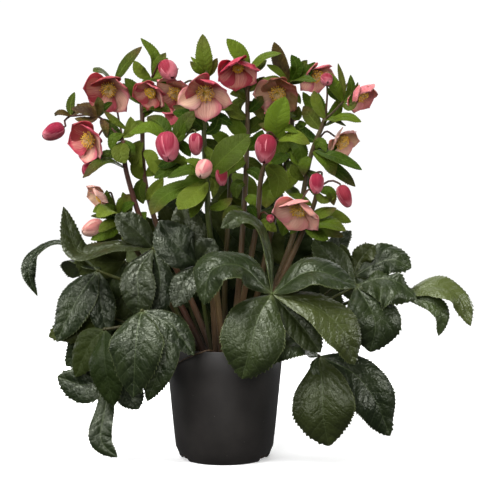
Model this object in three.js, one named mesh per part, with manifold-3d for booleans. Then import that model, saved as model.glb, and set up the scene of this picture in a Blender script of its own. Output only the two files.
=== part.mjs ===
// A flowering hellebore in its black nursery pot. Millimetres, +Z up; the pot stands on z = 0 with
// its axis on Z, and the plant's front faces -Y.
//
// The plant is set out as it lines up from the front. A place is written [across, up, back]: it
// lies on the sight line from EYE through the point that is `across` to the right of the pot's axis
// and `up` above the floor, and it is `back` behind the upright plane through that axis (minus is
// nearer the eye).

import * as THREE from "three";
import { mergeVertices } from "three/addons/utils/BufferGeometryUtils.js";
import Module from "manifold-3d";

const wasm = await Module();
wasm.setup();

const EYE = new THREE.Vector3(38, -1450, 309);

// The pot: a three litre pot with four drain notches at its foot.
const POT_HEIGHT = 165;
const POT_RIM_R = 88;
const POT_FOOT_R = 64;
const POT_WALL = 2;
const POT_FLOOR = 3;
const POT_SIDES = 24;
const NOTCH = { high: 9, wide: 34, from: 50, to: 90, angles: [67, 113, 247, 293] };

// The potting soil, and the plain holes that the stems stand in.
const GAP = 0.3;
const SOIL_TOP = 148;
const SOIL_EDGE_DROP = 2;
const HOLE_DEPTH = 14;
const STEM_SIDES = 5;
const THIN_SIDES = 4;

// Stems and blades.
const BLADE_THICK = 0.8;
const BLADE_ENDS = 1.1; // half the width of a blade at its root and its tip
const LEAFLET = { teeth: 0.07, steps: 5 };
const WIDE_LEAFLET = { teeth: 0.07, steps: 6, from: 35 }; // from this half width
const BRACT = { root: 0.8, tip: 0.8, steps: 3, columns: 2, fold: 0.3 };
const FOLDED_FROM = 9.5; // half width from which a bract is folded along its rib
const PETIOLE_R = [3.4, 2.4];
const STALK_R = [4.4, 2.6];
const ARM_R = [1.9, 1.5];
const PEDICEL_R = [1.6, 1.4];
const PEDICEL_STRAIGHT = 7; // its last stretch, along what it carries
const BUD = { around: 6, along: 4, sunk: 1.5 };

// Blooms: five broad sepals, round a crown of stamens.
const SEPALS = 5;
const SEPAL_THICK = 0.8;
const SEPAL_HALF = 0.46; // half its width, of its length
const SEPAL_WIDEST = 0.62; // where, along its length
const SEPAL_WIDENS = [0.9, 0.5]; // how quickly it widens from its root and narrows to its tip
const SEPAL_TIP = 1; // half its width there
const SEPAL_LAP = 0.2; // rise of one edge and fall of the other, of the half width
const SEPAL_CUP = 0.12; // rise of both edges, of the half width
const SEPAL_ROOT_ANGLE = 78; // degrees off the bloom's axis
const SEPAL_END_ANGLES = [-8, 76]; // the same at the tip, closed and flat
const SEPAL_JOIN = 0.22; // where the sepals part, along their length
const SEPAL_STEP = 0.6; // mm up or down there
const SEPAL_ROWS = [0.5, 0.8, 1];
const BOWL = { r: 3, back: 3, front: 1 };
const CROWN = {
  seenFrom: 0.42, // in blooms at least this open
  spikes: 5,
  foot: [2, 1.8], // radius and height of its rings
  spike: [11, 11],
  between: [5.5, 5.5],
  core: [4, 7.5],
  top: 11,
};

const COLOURS = {
  pot: 0x2b2a2a,
  soil: 0x2a1d14,
  leaf: 0x2c3d22,
  stalk: 0x4c5f25,
  sepal: 0xc4686f,
  crown: 0xc9a227,
};

const rad = THREE.MathUtils.degToRad;
const vec = (x, y, z) => new THREE.Vector3(x, y, z);

// The point of a place [across, up, back].
function spot([across, up, back]) {
  return vec(across, 0, up)
    .sub(EYE)
    .multiplyScalar(1 + back / -EYE.y)
    .add(EYE);
}

const smooth = (points) =>
  new THREE.CatmullRomCurve3(points, false, "catmullrom", 0.5);

// ---------------------------------------------------------------- solids

// A closed geometry as a solid.
function solid(geometry) {
  const bare = geometry.clone();
  for (const name of Object.keys(bare.attributes))
    if (name !== "position") bare.deleteAttribute(name);
  const merged = mergeVertices(bare, 1e-4);
  return new wasm.Manifold(
    new wasm.Mesh({
      numProp: 3,
      vertProperties: merged.attributes.position.array,
      triVerts: new Uint32Array(merged.index.array),
    }),
  );
}

const fuse = (solids) => wasm.Manifold.union(solids);

// A solid as a named mesh.
function node(name, made, colour, roughness) {
  const m = made.getMesh();
  const geometry = new THREE.BufferGeometry()
    .setAttribute(
      "position",
      new THREE.BufferAttribute(new Float32Array(m.vertProperties), 3),
    )
    .setIndex(new THREE.BufferAttribute(new Uint32Array(m.triVerts), 1));
  geometry.computeVertexNormals();
  const mesh = new THREE.Mesh(
    geometry,
    new THREE.MeshStandardMaterial({ color: colour, roughness, metalness: 0 }),
  );
  mesh.name = name;
  return mesh;
}

// A round stem through the points, from radius r0 at its root to r1 at its end, with a ring of
// corners at each point.
function strand(points, [r0, r1], sides = STEM_SIDES) {
  const curve = smooth(points);
  const rings = points.length - 1;
  const g = new THREE.CylinderGeometry(1, 1, 1, sides, rings);
  const at = g.attributes.position;
  const normals = [vec(1, 0.1, 0)];
  for (let i = 0; i <= rings; i++) {
    const along = curve.getTangent(i / rings);
    const last = normals[Math.max(i - 1, 0)];
    normals[i] = last.clone().addScaledVector(along, -last.dot(along)).normalize();
  }
  for (let i = 0; i < at.count; i++) {
    const t = at.getY(i) + 0.5;
    const normal = normals[Math.round(t * rings)];
    const binormal = vec(0, 0, 0).crossVectors(curve.getTangent(t), normal);
    const r = r0 + (r1 - r0) * t;
    const p = curve
      .getPoint(t)
      .addScaledVector(normal, at.getX(i) * r)
      .addScaledVector(binormal, -at.getZ(i) * r);
    at.setXYZ(i, p.x, p.y, p.z);
  }
  return solid(g);
}

// A leaf-like blade along the points. Its upper face looks towards `face`.
//   half          half its width at the widest, or [left, right]
//   root, tip     how quickly it widens from its root and narrows to its tip
//   fold, droop   how far its edges rise beside the rib and fall again, as shares of the width
//   wave, waves   the depth and the number of its edge's waves
//   teeth         the depth of its cut edge, as a share of the width
function blade(points, half, face, shape) {
  const {
    root = 1.05, tip = 0.8, fold = 0.25, droop = 0.2, wave = 0, waves = 2, teeth = 0, steps, columns = 2,
  } = shape;
  const halves = Array.isArray(half) ? half : [half, half];
  const curve = smooth(points);
  const facing = vec(...face);
  const widest = root / (root + tip);
  const plane = new THREE.PlaneGeometry(2, 1, columns, steps);
  const at = plane.attributes.position;
  const top = [];
  const bottom = [];
  for (let i = 0; i < at.count; i++) {
    const s = at.getX(i);
    const t = at.getY(i) + 0.5;
    const along = curve.getTangent(t);
    const out = vec(0, 0, 0).crossVectors(along, facing).normalize();
    const lift = vec(0, 0, 0).crossVectors(out, along);
    const full = Math.pow(t / widest, root) * Math.pow((1 - t) / (1 - widest), tip);
    const step = Math.round(t * steps);
    const inner = step > 0 && step < steps;
    const cut = inner ? 1 + (step % 2 ? teeth : -teeth) : 1;
    const w = Math.max(halves[s < 0 ? 0 : 1] * full * cut, BLADE_ENDS);
    const waved = Math.sin(Math.PI * t) * Math.sin(2 * Math.PI * waves * t + (s > 0 ? 0 : 2));
    const rise = w * (fold * Math.abs(s) - droop * s * s) + wave * s * s * waved;
    const p = curve.getPoint(t).addScaledVector(out, s * w).addScaledVector(lift, rise);
    top.push(p.clone().addScaledVector(lift, BLADE_THICK / 2));
    bottom.push(p.clone().addScaledVector(lift, -BLADE_THICK / 2));
  }
  const id = (column, row) => row * (columns + 1) + column;
  const rim = [];
  for (let c = 0; c < columns; c++) rim.push(id(c, steps));
  for (let r = steps; r > 0; r--) rim.push(id(columns, r));
  for (let c = columns; c > 0; c--) rim.push(id(c, 0));
  for (let r = 0; r < steps; r++) rim.push(id(0, r));
  return solid(sheet(top, bottom, plane.index.array, rim));
}

// A closed sheet between two like sets of points. It takes the faces of its upper side, and the loop
// of corners round its edge, counter-clockwise seen from above.
function sheet(top, bottom, faces, rim) {
  const count = top.length;
  const index = [...faces];
  for (let i = 0; i < faces.length; i += 3)
    index.push(faces[i] + count, faces[i + 2] + count, faces[i + 1] + count);
  rim.forEach((a, i) => {
    const b = rim[(i + 1) % rim.length];
    index.push(a, a + count, b + count, a, b + count, b);
  });
  return new THREE.BufferGeometry().setFromPoints([...top, ...bottom]).setIndex(index);
}

// A closed bud: a plump body of radius r, `long` along the direction `way`, that sits on `foot`.
function bud(foot, way, r, long) {
  const g = new THREE.SphereGeometry(1, BUD.around, BUD.along);
  g.scale(r, long / 2, r);
  g.translate(0, long / 2 - BUD.sunk, 0);
  g.applyQuaternion(new THREE.Quaternion().setFromUnitVectors(vec(0, 1, 0), way));
  g.translate(foot.x, foot.y, foot.z);
  return solid(g);
}

// ---------------------------------------------------------------- pot and soil

// The pot's outer profile as [radius, height], from the foot to the rim.
const POT_PROFILE = [
  [POT_FOOT_R, 0], [68, 5], [73, 18], [81.5, 97], [POT_RIM_R, POT_HEIGHT],
];

// A soil or pot surface a distance inside the pot's outer profile, from the floor's height up.
function inside(distance, floor, top) {
  const kept = POT_PROFILE.filter(([, z]) => z > floor + 1 && z < top - 1);
  const radiusAt = (z) => {
    const i = POT_PROFILE.findIndex(([, h]) => h >= z);
    const [[r0, z0], [r1, z1]] = [POT_PROFILE[i - 1], POT_PROFILE[i]];
    return r0 + ((r1 - r0) * (z - z0)) / (z1 - z0);
  };
  return [[radiusAt(floor), floor], ...kept, [radiusAt(top), top]].map(([r, z]) => [r - distance, z]);
}

// A turned geometry from [radius, height] pairs, its axis on Y.
const turned = (profile, sides) =>
  new THREE.LatheGeometry(profile.map(([r, z]) => new THREE.Vector2(r, z)), sides);

const lathe = (profile) => solid(turned(profile, POT_SIDES).rotateX(Math.PI / 2));

function pot() {
  const inner = inside(POT_WALL, POT_FLOOR, POT_HEIGHT).reverse();
  const shell = lathe([[0, 0], ...POT_PROFILE, ...inner, [0, POT_FLOOR]]);
  const cuts = NOTCH.angles.map((angle) => {
    const g = new THREE.BoxGeometry(NOTCH.to - NOTCH.from, NOTCH.wide, 2 * NOTCH.high);
    g.translate((NOTCH.from + NOTCH.to) / 2, 0, 0);
    g.rotateZ(rad(angle - 90));
    return solid(g);
  });
  return shell.subtract(fuse(cuts));
}

function soil(stems) {
  const low = POT_FLOOR + GAP;
  const side = inside(POT_WALL + GAP, low, SOIL_TOP - SOIL_EDGE_DROP);
  const body = lathe([[0, low], ...side, [0, SOIL_TOP]]);
  const holes = stems.map(({ stand: [x, y], r }) => {
    // the stem's corners clear the flats of its hole, whichever way they turn
    const wide = (r + 2 * GAP) / Math.cos(Math.PI / STEM_SIDES);
    const g = new THREE.CylinderGeometry(wide, wide, 4 * HOLE_DEPTH, STEM_SIDES);
    g.rotateX(Math.PI / 2);
    g.translate(x, y, SOIL_TOP + HOLE_DEPTH);
    return solid(g);
  });
  return body.subtract(fuse(holes));
}

// The two lowest points of a stem that stands in the soil at [x, y].
const footing = ([x, y]) => [vec(x, y, SOIL_TOP - HOLE_DEPTH + GAP), vec(x, y, SOIL_TOP + 2)];

// ---------------------------------------------------------------- basal leaves

// A leaf: a petiole from the soil through `via` to the hub, and leaflets that spread from the hub.
const LEAVES = {
  front_right: {
    stand: [16, -50], via: [[40, 192, -75]], hub: [71, 243, -105],
    leaflets: [
      { through: [[24, 284, -124], [-20, 278, -138], [-31, 227, -132]], half: 36, face: [-0.35, -0.6, 0.7] },
      {
        through: [[66, 300, -88], [50, 345, -85], [22, 357, -86], [-6, 342, -92]], half: 18,
        face: [0.75, -0.35, 0.55],
      },
      { through: [[131, 277, -118], [198, 254, -112]], half: 31, face: [0.05, -0.6, 0.8] },
      { through: [[138, 223, -124], [180, 184, -132], [195, 137, -122]], half: 31, face: [0.35, -0.8, 0.5] },
      { through: [[50, 207, -128], [38, 161, -138], [26, 116, -128]], half: 44, face: [-0.05, -0.95, 0.3] },
      { through: [[112, 199, -104], [144, 155, -104]], half: 22, face: [0, -0.9, 0.4] },
    ],
  },
  low_right: {
    stand: [46, -28], via: [[82, 189, -40]], hub: [141, 150, -55],
    leaflets: [
      { through: [[108, 170, -84], [58, 140, -106]], half: 25, face: [-0.25, -0.7, 0.65] },
      { through: [[134, 133, -68], [142, 117, -72]], half: 6, face: [-0.2, -0.9, 0.2], steps: 5 },
      { through: [[147, 102, -80], [148, 60, -86], [156, 15, -76]], half: 45, face: [-0.25, -0.95, 0.2] },
      { through: [[194, 123, -62], [226, 84, -66], [248, 30, -56]], half: 38, face: [0.3, -0.9, 0.35] },
    ],
  },
  right: {
    stand: [50, -6], via: [[120, 212, -12]], hub: [197, 255, -28],
    leaflets: [
      {
        through: [[230, 266, -36], [260, 260, -42], [288, 236, -44]], half: [12, 50],
        face: [0, -0.75, 0.65], wave: 7, waves: 3, steps: 6,
      },
      { through: [[216, 225, -54], [226, 195, -64], [218, 156, -60]], half: 42, face: [0.3, -0.9, 0.35] },
      { through: [[166, 287, -22], [133, 325, -10]], half: 24, face: [-0.1, -0.8, 0.6] },
      { through: [[225, 272, 30], [250, 257, 80]], half: 30, face: [0.2, 0.1, 0.95] },
    ],
  },
  far_right: {
    stand: [48, 14], via: [[130, 202, 10], [205, 237, 12]], hub: [268, 237, 8],
    leaflets: [
      {
        through: [[309, 254, -2], [350, 239, -4], [369, 195, -6]], half: 25,
        face: [0.25, -0.6, 0.75], wave: 3,
      },
      { through: [[308, 230, -12], [326, 212, -14], [321, 180, -14]], half: 15, face: [0.5, -0.8, 0.1] },
    ],
  },
  left: {
    stand: [-38, -6], via: [[-76, 227, -26]], hub: [-107, 311, -40],
    leaflets: [
      {
        through: [[-158, 315, -48], [-219, 306, -42], [-242, 374, -34]], half: 22,
        face: [0.15, -0.5, 0.85], wave: 3,
      },
      { through: [[-134, 339, -48], [-164, 362, -50]], half: 22, face: [-0.3, -0.7, 0.6] },
      { through: [[-129, 278, -64], [-129, 241, -74], [-131, 207, -68]], half: 25, face: [-0.25, -0.9, 0.3] },
      { through: [[-98, 274, -48], [-99, 240, -54], [-120, 209, -50]], half: 20, face: [0.2, -0.95, 0.2] },
    ],
  },
  front_left: {
    stand: [-16, -48], via: [[-30, 217, -62]], hub: [-40, 287, -78],
    leaflets: [
      { through: [[-70, 314, -90], [-98, 353, -78]], half: 30, face: [-0.2, -0.85, 0.5] },
      { through: [[-28, 307, -92], [-16, 325, -98]], half: 19, face: [0.1, -0.9, 0.45] },
      { through: [[-53, 333, -66], [-67, 379, -54]], half: 24, face: [0, -0.9, 0.4] },
      { through: [[-58, 259, -98], [-76, 223, -104]], half: 20, face: [-0.1, -0.9, 0.4] },
    ],
  },
  low_front_left: {
    stand: [-40, -32], via: [[-82, 197, -70]], hub: [-124, 218, -86],
    leaflets: [
      {
        through: [[-131, 187, -108], [-134, 152, -118], [-137, 88, -112]], half: 38,
        face: [-0.15, -0.95, 0.2],
      },
      { through: [[-91, 180, -104], [-98, 132, -112], [-116, 82, -104]], half: 22, face: [0.1, -0.95, 0.25] },
      { through: [[-80, 195, -100], [-46, 151, -106]], half: 18, face: [0.1, -0.9, 0.4] },
    ],
  },
  mid_left: {
    stand: [-52, -18], via: [[-108, 195, -40]], hub: [-180, 190, -62],
    leaflets: [
      { through: [[-179, 139, -92], [-166, 75, -92]], half: 26, face: [-0.35, -0.9, 0.15] },
      { through: [[-202, 167, -62], [-224, 118, -54]], half: 24, face: [-0.4, -0.85, 0.3] },
    ],
  },
  low_left: {
    stand: [-54, 2], via: [[-104, 183, -14]], hub: [-168, 129, -42],
    leaflets: [
      { through: [[-206, 107, -50], [-251, 119, -44]], half: 26, face: [-0.2, -0.95, 0.15], wave: 2 },
      { through: [[-145, 97, -54], [-129, 70, -58]], half: 20, face: [0.1, -1, 0.1] },
      {
        through: [[-180, 68, -66], [-185, 24, -80], [-161, -2, -88]], half: 16,
        face: [-0.1, -1, 0], wave: 4,
      },
    ],
  },
  far_left: {
    stand: [-50, 20], via: [[-115, 242, 14]], hub: [-190, 278, 0],
    leaflets: [
      {
        through: [[-242, 319, 14], [-283, 306, 12], [-294, 272, 8], [-281, 240, 6]], half: 12,
        face: [0.05, -0.35, 0.9],
      },
      { through: [[-220, 236, -16], [-252, 171, -14]], half: 29, face: [-0.3, -0.9, 0.3] },
      { through: [[-186, 231, -18], [-176, 177, -20]], half: 20, face: [0.1, -0.95, 0.3] },
      { through: [[-212, 292, 50], [-228, 267, 100]], half: 30, face: [-0.1, 0.2, 0.95] },
    ],
  },
  back_left: {
    stand: [-34, 38], via: [[-70, 202, 55]], hub: [-110, 257, 80],
    leaflets: [
      { through: [[-160, 259, 105], [-205, 222, 120]], half: 32, face: [-0.2, 0.3, 0.9] },
      { through: [[-130, 242, 125], [-150, 177, 150]], half: 34, face: [-0.3, 0.85, 0.4] },
      { through: [[-90, 242, 125], [-70, 187, 160]], half: 30, face: [0, 0.85, 0.5] },
      { through: [[-125, 297, 100], [-150, 332, 110]], half: 26, face: [-0.2, 0.7, 0.6] },
    ],
  },
  back: {
    stand: [6, 52], via: [[8, 230, 72]], hub: [4, 305, 84],
    leaflets: [
      { through: [[-50, 342, 78], [-84, 400, 84]], half: 30, face: [-0.2, -0.9, 0.3] },
      { through: [[4, 362, 92], [14, 430, 96]], half: 28, face: [0, -0.9, 0.4] },
      { through: [[52, 345, 80], [86, 396, 88]], half: 30, face: [0.2, -0.9, 0.3] },
      { through: [[-46, 300, 112], [-92, 262, 130]], half: 30, face: [-0.2, 0.7, 0.7] },
      { through: [[52, 298, 114], [96, 258, 132]], half: 30, face: [0.2, 0.7, 0.7] },
      { through: [[4, 262, 132], [2, 196, 152]], half: 34, face: [0, 0.9, 0.4] },
    ],
  },
  back_right: {
    stand: [36, 38], via: [[80, 202, 55]], hub: [122, 255, 76],
    leaflets: [
      { through: [[175, 257, 100], [225, 219, 112]], half: 32, face: [0.2, 0.3, 0.9] },
      { through: [[145, 237, 115], [160, 172, 138]], half: 34, face: [0.3, 0.85, 0.4] },
      { through: [[160, 303, 62], [190, 338, 56]], half: 23, face: [-0.1, -0.6, 0.75] },
    ],
  },
};

function leaf({ stand, via, hub, leaflets }) {
  const end = spot(hub);
  const petiole = strand([...footing(stand), ...via.map(spot), end], PETIOLE_R);
  const blades = leaflets.map(({ through, half, face, ...shape }) => {
    const kind = half < WIDE_LEAFLET.from ? LEAFLET : WIDE_LEAFLET;
    return blade([end, ...through.map(spot)], half, face, { ...kind, ...shape });
  });
  return fuse([petiole, ...blades]);
}

// ---------------------------------------------------------------- flowering stalks

// A stalk rises from the soil along `path`. Arms branch from it. Bracts are [root, ..., tip] with a
// half width and the way they face. Buds and blooms hang on pedicels that start at `from`. A bloom
// sits at `at` and looks along `face`; `open` runs from 0, a closed cup, to 1, flat.
const STALKS = {
  left: {
    stand: [-27, -9], path: [[-66, 227, -8], [-112, 317, -12], [-146, 420, -18], [-152, 473, -20]],
    arms: [[[-152, 473, -20], [-190, 509, 2], [-232, 510, 12]]],
    bracts: [
      [[[-147, 431, -18], [-180, 443, -38], [-213, 417, -50]], 13, [0, -0.5, 0.85]],
      [[[-152, 471, -20], [-156, 455, -40], [-149, 439, -46]], 13, [0, -0.95, 0.3]],
      [[[-165, 562, 34], [-148, 588, 22], [-124, 614, 14]], 12, [-0.3, -0.8, 0.5]],
      [[[-167, 562, 34], [-184, 577, 16], [-198, 577, 6]], 10, [0, -0.7, 0.7]],
    ],
    buds: [
      {
        from: [-232, 510, 12], via: [-240, 503, 4], at: [-243, 493, -2],
        way: [-0.85, -0.35, -0.5], r: 12, long: 34,
      },
      {
        from: [-147, 431, -18], via: [-180, 445, -2], at: [-204, 437, -6],
        way: [-0.2, -0.2, -0.95], r: 8, long: 19,
      },
    ],
    blooms: [
      {
        name: "far_left", from: [-152, 473, -20], via: [[-174, 497, -4]], at: [-198, 476, -24],
        face: [-0.55, -0.75, -0.3], size: 38, open: 0.62, roll: 20,
      },
      {
        name: "top_left", from: [-152, 473, -20], via: [[-161, 517, 34], [-166, 562, 34]], at: [-172, 554, 8],
        face: [-0.1, -0.75, -0.6], size: 43, open: 0.66, roll: 0,
      },
    ],
  },
  mid_left: {
    stand: [-17, 11], path: [[-56, 247, 14], [-95, 327, 14], [-120, 417, 12], [-124, 528, 8]],
    arms: [[[-124, 526, 8], [-118, 549, 16], [-108, 571, 16]]],
    bracts: [
      [[[-124, 527, 8], [-140, 543, 20], [-153, 559, 22]], 9, [0.2, -0.8, 0.5]],
      [[[-108, 568, 16], [-104, 599, 10], [-126, 627, 8]], 8, [0.3, -0.9, 0.2]],
      [[[-108, 568, 16], [-96, 585, 10], [-85, 597, 8]], 9, [0, -0.8, 0.6]],
    ],
    buds: [
      {
        from: [-108, 568, 16], via: [-98, 590, 0], at: [-90, 588, -12],
        way: [0.4, -0.55, -0.7], r: 13, long: 34,
      },
    ],
    blooms: [
      {
        name: "upper_left", from: [-124, 526, 8], via: [[-118, 552, -4]], at: [-108, 549, -18],
        face: [-0.35, -0.6, -0.7], size: 31, open: 0.4, roll: 10,
      },
    ],
  },
  centre: {
    stand: [-12, -19], path: [[-18, 247, -26], [-24, 367, -30], [-31, 477, -28], [-26, 570, -24]],
    bracts: [
      [[[-26, 568, -24], [-31, 597, -34], [-33, 633, -32]], 13, [0, -0.95, 0.2]],
      [[[-26, 568, -24], [-40, 580, -34], [-52, 592, -34]], 9, [-0.3, -0.85, 0.4]],
      [[[-26, 568, -24], [-18, 583, -22], [-11, 597, -20]], 8, [0.2, -0.9, 0.2]],
    ],
    blooms: [
      {
        name: "centre", from: [-26, 568, -24], via: [[-28, 577, -36]], at: [-29, 548, -50],
        face: [-0.05, -0.84, -0.54], size: 43, open: 0.72, roll: 180,
      },
      {
        name: "behind_centre", from: [-28, 527, -26], via: [[-48, 562, 14]], at: [-70, 549, 16],
        face: [-0.35, -0.65, -0.65], size: 36, open: 0.55, roll: 30,
      },
    ],
  },
  mid_right: {
    stand: [8, -6], path: [[20, 247, -2], [30, 387, 2], [34, 491, 4], [34, 577, 0]],
    bracts: [
      [[[34, 575, 0], [23, 602, -10], [3, 626, -14]], 13, [0.1, -0.9, 0.3]],
      [[[34, 575, 0], [58, 598, -8], [85, 604, -14]], 9, [0, -0.7, 0.7]],
    ],
    blooms: [
      {
        name: "upper_centre", from: [34, 573, 0], via: [[28, 595, -14]], at: [19, 588, -26],
        face: [0.1, -0.5, -0.84], size: 41, open: 0.26, roll: 36,
      },
    ],
  },
  right_back: {
    stand: [24, 6], path: [[50, 247, 14], [80, 387, 24], [100, 483, 26], [98, 560, 22]],
    bracts: [
      [[[98, 559, 22], [83, 590, 10], [74, 621, 4]], 12, [0.3, -0.9, 0.2]],
      [[[98, 559, 22], [106, 580, 16], [112, 597, 12]], 8, [-0.1, -0.9, 0.3]],
      [[[98, 559, 22], [114, 566, -12], [137, 562, -26]], 9, [0, -0.7, 0.7]],
      [[[88, 425, 24], [72, 442, 6], [58, 440, -4]], 14, [0.2, -0.9, 0.4]],
      [[[84, 405, 24], [66, 396, 4], [62, 372, -2]], 15, [-0.1, -0.95, 0.3]],
    ],
    blooms: [
      {
        name: "upper_right", from: [98, 557, 22], via: [[116, 588, 38]], at: [133, 576, 34],
        face: [0.4, -0.5, -0.76], size: 34, open: 0.5, roll: 0,
      },
      {
        name: "olive", from: [98, 545, 22], via: [[90, 564, 12]], at: [80, 548, -4],
        face: [-0.1, -0.8, -0.58], size: 38, open: 0.65, roll: 14,
      },
    ],
  },
  right_front: {
    stand: [14, -29], path: [[28, 237, -38], [48, 347, -46], [56, 423, -50], [79, 476, -54]],
    bracts: [
      [[[79, 474, -54], [78, 503, -66], [91, 539, -64]], 18, [0.1, -0.95, 0.2]],
      [[[79, 474, -54], [104, 479, -66], [128, 468, -64]], 13, [0, -0.7, 0.65]],
      [[[62, 437, -52], [80, 417, -60], [76, 386, -62]], 15, [0.2, -0.95, 0.2]],
    ],
    buds: [
      {
        from: [48, 345, -46], via: [56, 366, -60], at: [68, 358, -70],
        way: [0.1, -0.8, -0.5], r: 5.5, long: 12,
      },
      {
        from: [79, 474, -54], via: [70, 485, -66], at: [63, 479, -72],
        way: [-0.1, -0.3, -0.93], r: 15, long: 41,
      },
    ],
  },
  right: {
    stand: [32, -14], path: [[72, 247, -16], [108, 347, -14], [128, 446, -12], [151, 506, -12]],
    arms: [[[151, 505, -12], [166, 519, -12], [178, 532, -10]]],
    bracts: [
      [[[149, 495, -12], [178, 508, -28], [205, 501, -36]], 13, [0, -0.6, 0.8]],
      [[[151, 504, -12], [138, 528, -22], [134, 548, -22]], 9, [0.3, -0.9, 0.2]],
      [[[178, 530, -10], [164, 556, -16], [153, 576, -14]], 10, [0.2, -0.85, 0.4]],
      [[[178, 530, -10], [176, 560, -2], [170, 589, 2]], 6, [0.5, -0.8, 0.1]],
      [[[133, 459, -12], [171, 447, -34], [206, 429, -42]], 12, [0, -0.65, 0.75]],
      [[[131, 456, -12], [166, 430, -20], [196, 404, -34]], 12, [0, -0.7, 0.65]],
    ],
    buds: [
      {
        from: [151, 505, -12], via: [154, 546, 4], at: [152, 568, -12],
        way: [0.05, -0.8, -0.5], r: 9, long: 22,
      },
    ],
    blooms: [
      {
        name: "far_right", from: [178, 530, -10], via: [[181, 552, 3], [187, 560, 3]], at: [199, 547, -6],
        face: [0.55, -0.5, -0.67], size: 33, open: 0.45, roll: 25,
      },
      {
        name: "mid_right", from: [132, 458, -12], via: [[150, 486, 14]], at: [170, 476, 12],
        face: [0.6, -0.6, -0.53], size: 33, open: 0.5, roll: 0,
      },
    ],
  },
  low_right: {
    stand: [35, -35], path: [[66, 227, -44], [104, 307, -34], [132, 372, -30], [140, 404, -34]],
    bracts: [
      [[[139, 400, -34], [157, 396, -42], [164, 376, -44]], 9, [0.3, -0.8, 0.4]],
      [[[120, 343, -32], [152, 350, -46], [182, 338, -50]], 14, [0, -0.65, 0.75]],
    ],
    buds: [
      {
        from: [140, 402, -34], via: [146, 424, -70], at: [138, 421, -88],
        way: [-0.05, -0.3, -0.95], r: 10, long: 28,
      },
      {
        from: [140, 402, -34], via: [158, 413, -40], at: [174, 404, -44],
        way: [0.35, -0.15, -0.9], r: 10, long: 33,
      },
    ],
    blooms: [
      {
        name: "low_right", from: [138, 398, -34], via: [[126, 400, -60]], at: [113, 376, -78],
        face: [-0.3, -0.6, -0.74], size: 42, open: 0.6, roll: 0,
      },
    ],
  },
  front: {
    stand: [-2, -39], path: [[-10, 227, -54], [-20, 317, -66], [-26, 371, -76], [-25, 423, -84]],
    arms: [[[-25, 383, -78], [-56, 433, -66], [-80, 471, -58]]],
    bracts: [
      [[[-24, 423, -84], [5, 453, -98], [37, 482, -94]], 22, [0, -0.85, 0.5]],
      [[[-26, 417, -83], [-88, 391, -96], [-111, 362, -106]], 15, [-0.2, -0.8, 0.5]],
      [[[-26, 413, -82], [-50, 389, -110], [-70, 370, -120]], 17, [0, -0.75, 0.65]],
      [[[-80, 471, -58], [-112, 492, -68], [-143, 483, -66]], 13, [0, -0.65, 0.75]],
      [[[-80, 471, -58], [-98, 498, -50], [-116, 509, -42]], 13, [0, -0.75, 0.6]],
      [[[-80, 471, -58], [-62, 496, -62], [-46, 518, -60]], 12, [0, -0.85, 0.5]],
    ],
    buds: [
      {
        from: [-80, 469, -58], via: [-84, 486, -72], at: [-88, 482, -82],
        way: [0.15, -0.35, -0.9], r: 16, long: 42,
      },
      {
        from: [-74, 462, -60], via: [-50, 488, -64], at: [-44, 482, -68],
        way: [0.05, -0.2, -0.95], r: 10, long: 31,
      },
      {
        from: [-25, 421, -84], via: [-24, 443, -96], at: [-27, 440, -104],
        way: [-0.3, -0.55, -0.75], r: 11, long: 28,
      },
      {
        from: [-25, 421, -84], via: [-18, 440, -86], at: [-6, 431, -88],
        way: [0.1, -0.1, -0.98], r: 8.5, long: 25,
      },
    ],
  },
  low_left: {
    stand: [-35, 13], path: [[-86, 237, 14], [-138, 317, 8], [-160, 360, 2]],
    bracts: [
      [[[-160, 359, 2], [-174, 370, -28], [-192, 358, -40]], 14, [-0.1, -0.8, 0.5]],
      [[[-160, 359, 2], [-150, 377, -8], [-142, 393, -8]], 12, [0.1, -0.9, 0.3]],
      [[[-150, 341, 4], [-144, 333, -18], [-152, 319, -26]], 11, [0.2, -0.9, 0.4]],
    ],
    buds: [
      {
        from: [-152, 345, 4], via: [-170, 352, 14], at: [-184, 348, 12],
        way: [-0.8, -0.4, -0.4], r: 12, long: 34,
      },
    ],
    blooms: [
      {
        name: "left_pale", from: [-160, 359, 2], via: [[-168, 388, 16]], at: [-180, 391, 10],
        face: [-0.8, -0.4, -0.45], size: 31, open: 0.3, roll: 0,
      },
    ],
  },
  back: {
    stand: [2, 24], path: [[0, 247, 44], [6, 367, 62], [10, 457, 74]],
    arms: [
      [[10, 456, 74], [-22, 492, 68], [-52, 517, 66]],
      [[10, 456, 74], [40, 489, 68], [62, 513, 66]],
    ],
    bracts: [
      [[[10, 456, 74], [-20, 467, 92], [-48, 457, 104]], 14, [0, 0.6, 0.8]],
      [[[10, 456, 74], [38, 469, 90], [66, 461, 100]], 14, [0, 0.6, 0.8]],
      [[[-52, 516, 66], [-60, 539, 74], [-72, 559, 76]], 11, [-0.2, 0.9, 0.3]],
      [[[62, 512, 66], [72, 531, 76], [86, 543, 80]], 11, [0.2, 0.9, 0.4]],
    ],
    buds: [
      {
        from: [10, 454, 74], via: [12, 478, 88], at: [10, 474, 100],
        way: [0, 0.6, -0.8], r: 14, long: 38,
      },
    ],
    blooms: [
      {
        name: "back_left", from: [-52, 515, 66], via: [[-58, 533, 66]], at: [-60, 527, 82],
        face: [-0.3, 0.78, -0.55], size: 42, open: 0.6, roll: 0,
      },
      {
        name: "back_right", from: [62, 511, 66], via: [[68, 527, 66]], at: [72, 521, 82],
        face: [0.3, 0.78, -0.55], size: 42, open: 0.6, roll: 30,
      },
    ],
  },
};

// A bloom's own axes: the way it looks, and two directions across it.
function bloomFrame({ at, face }) {
  const axis = vec(...face).normalize();
  const across = vec(0, 0, 0).crossVectors(axis, vec(0, 0, 1)).normalize();
  const up = vec(0, 0, 0).crossVectors(across, axis);
  return { origin: spot(at), axis, across, up };
}

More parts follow.
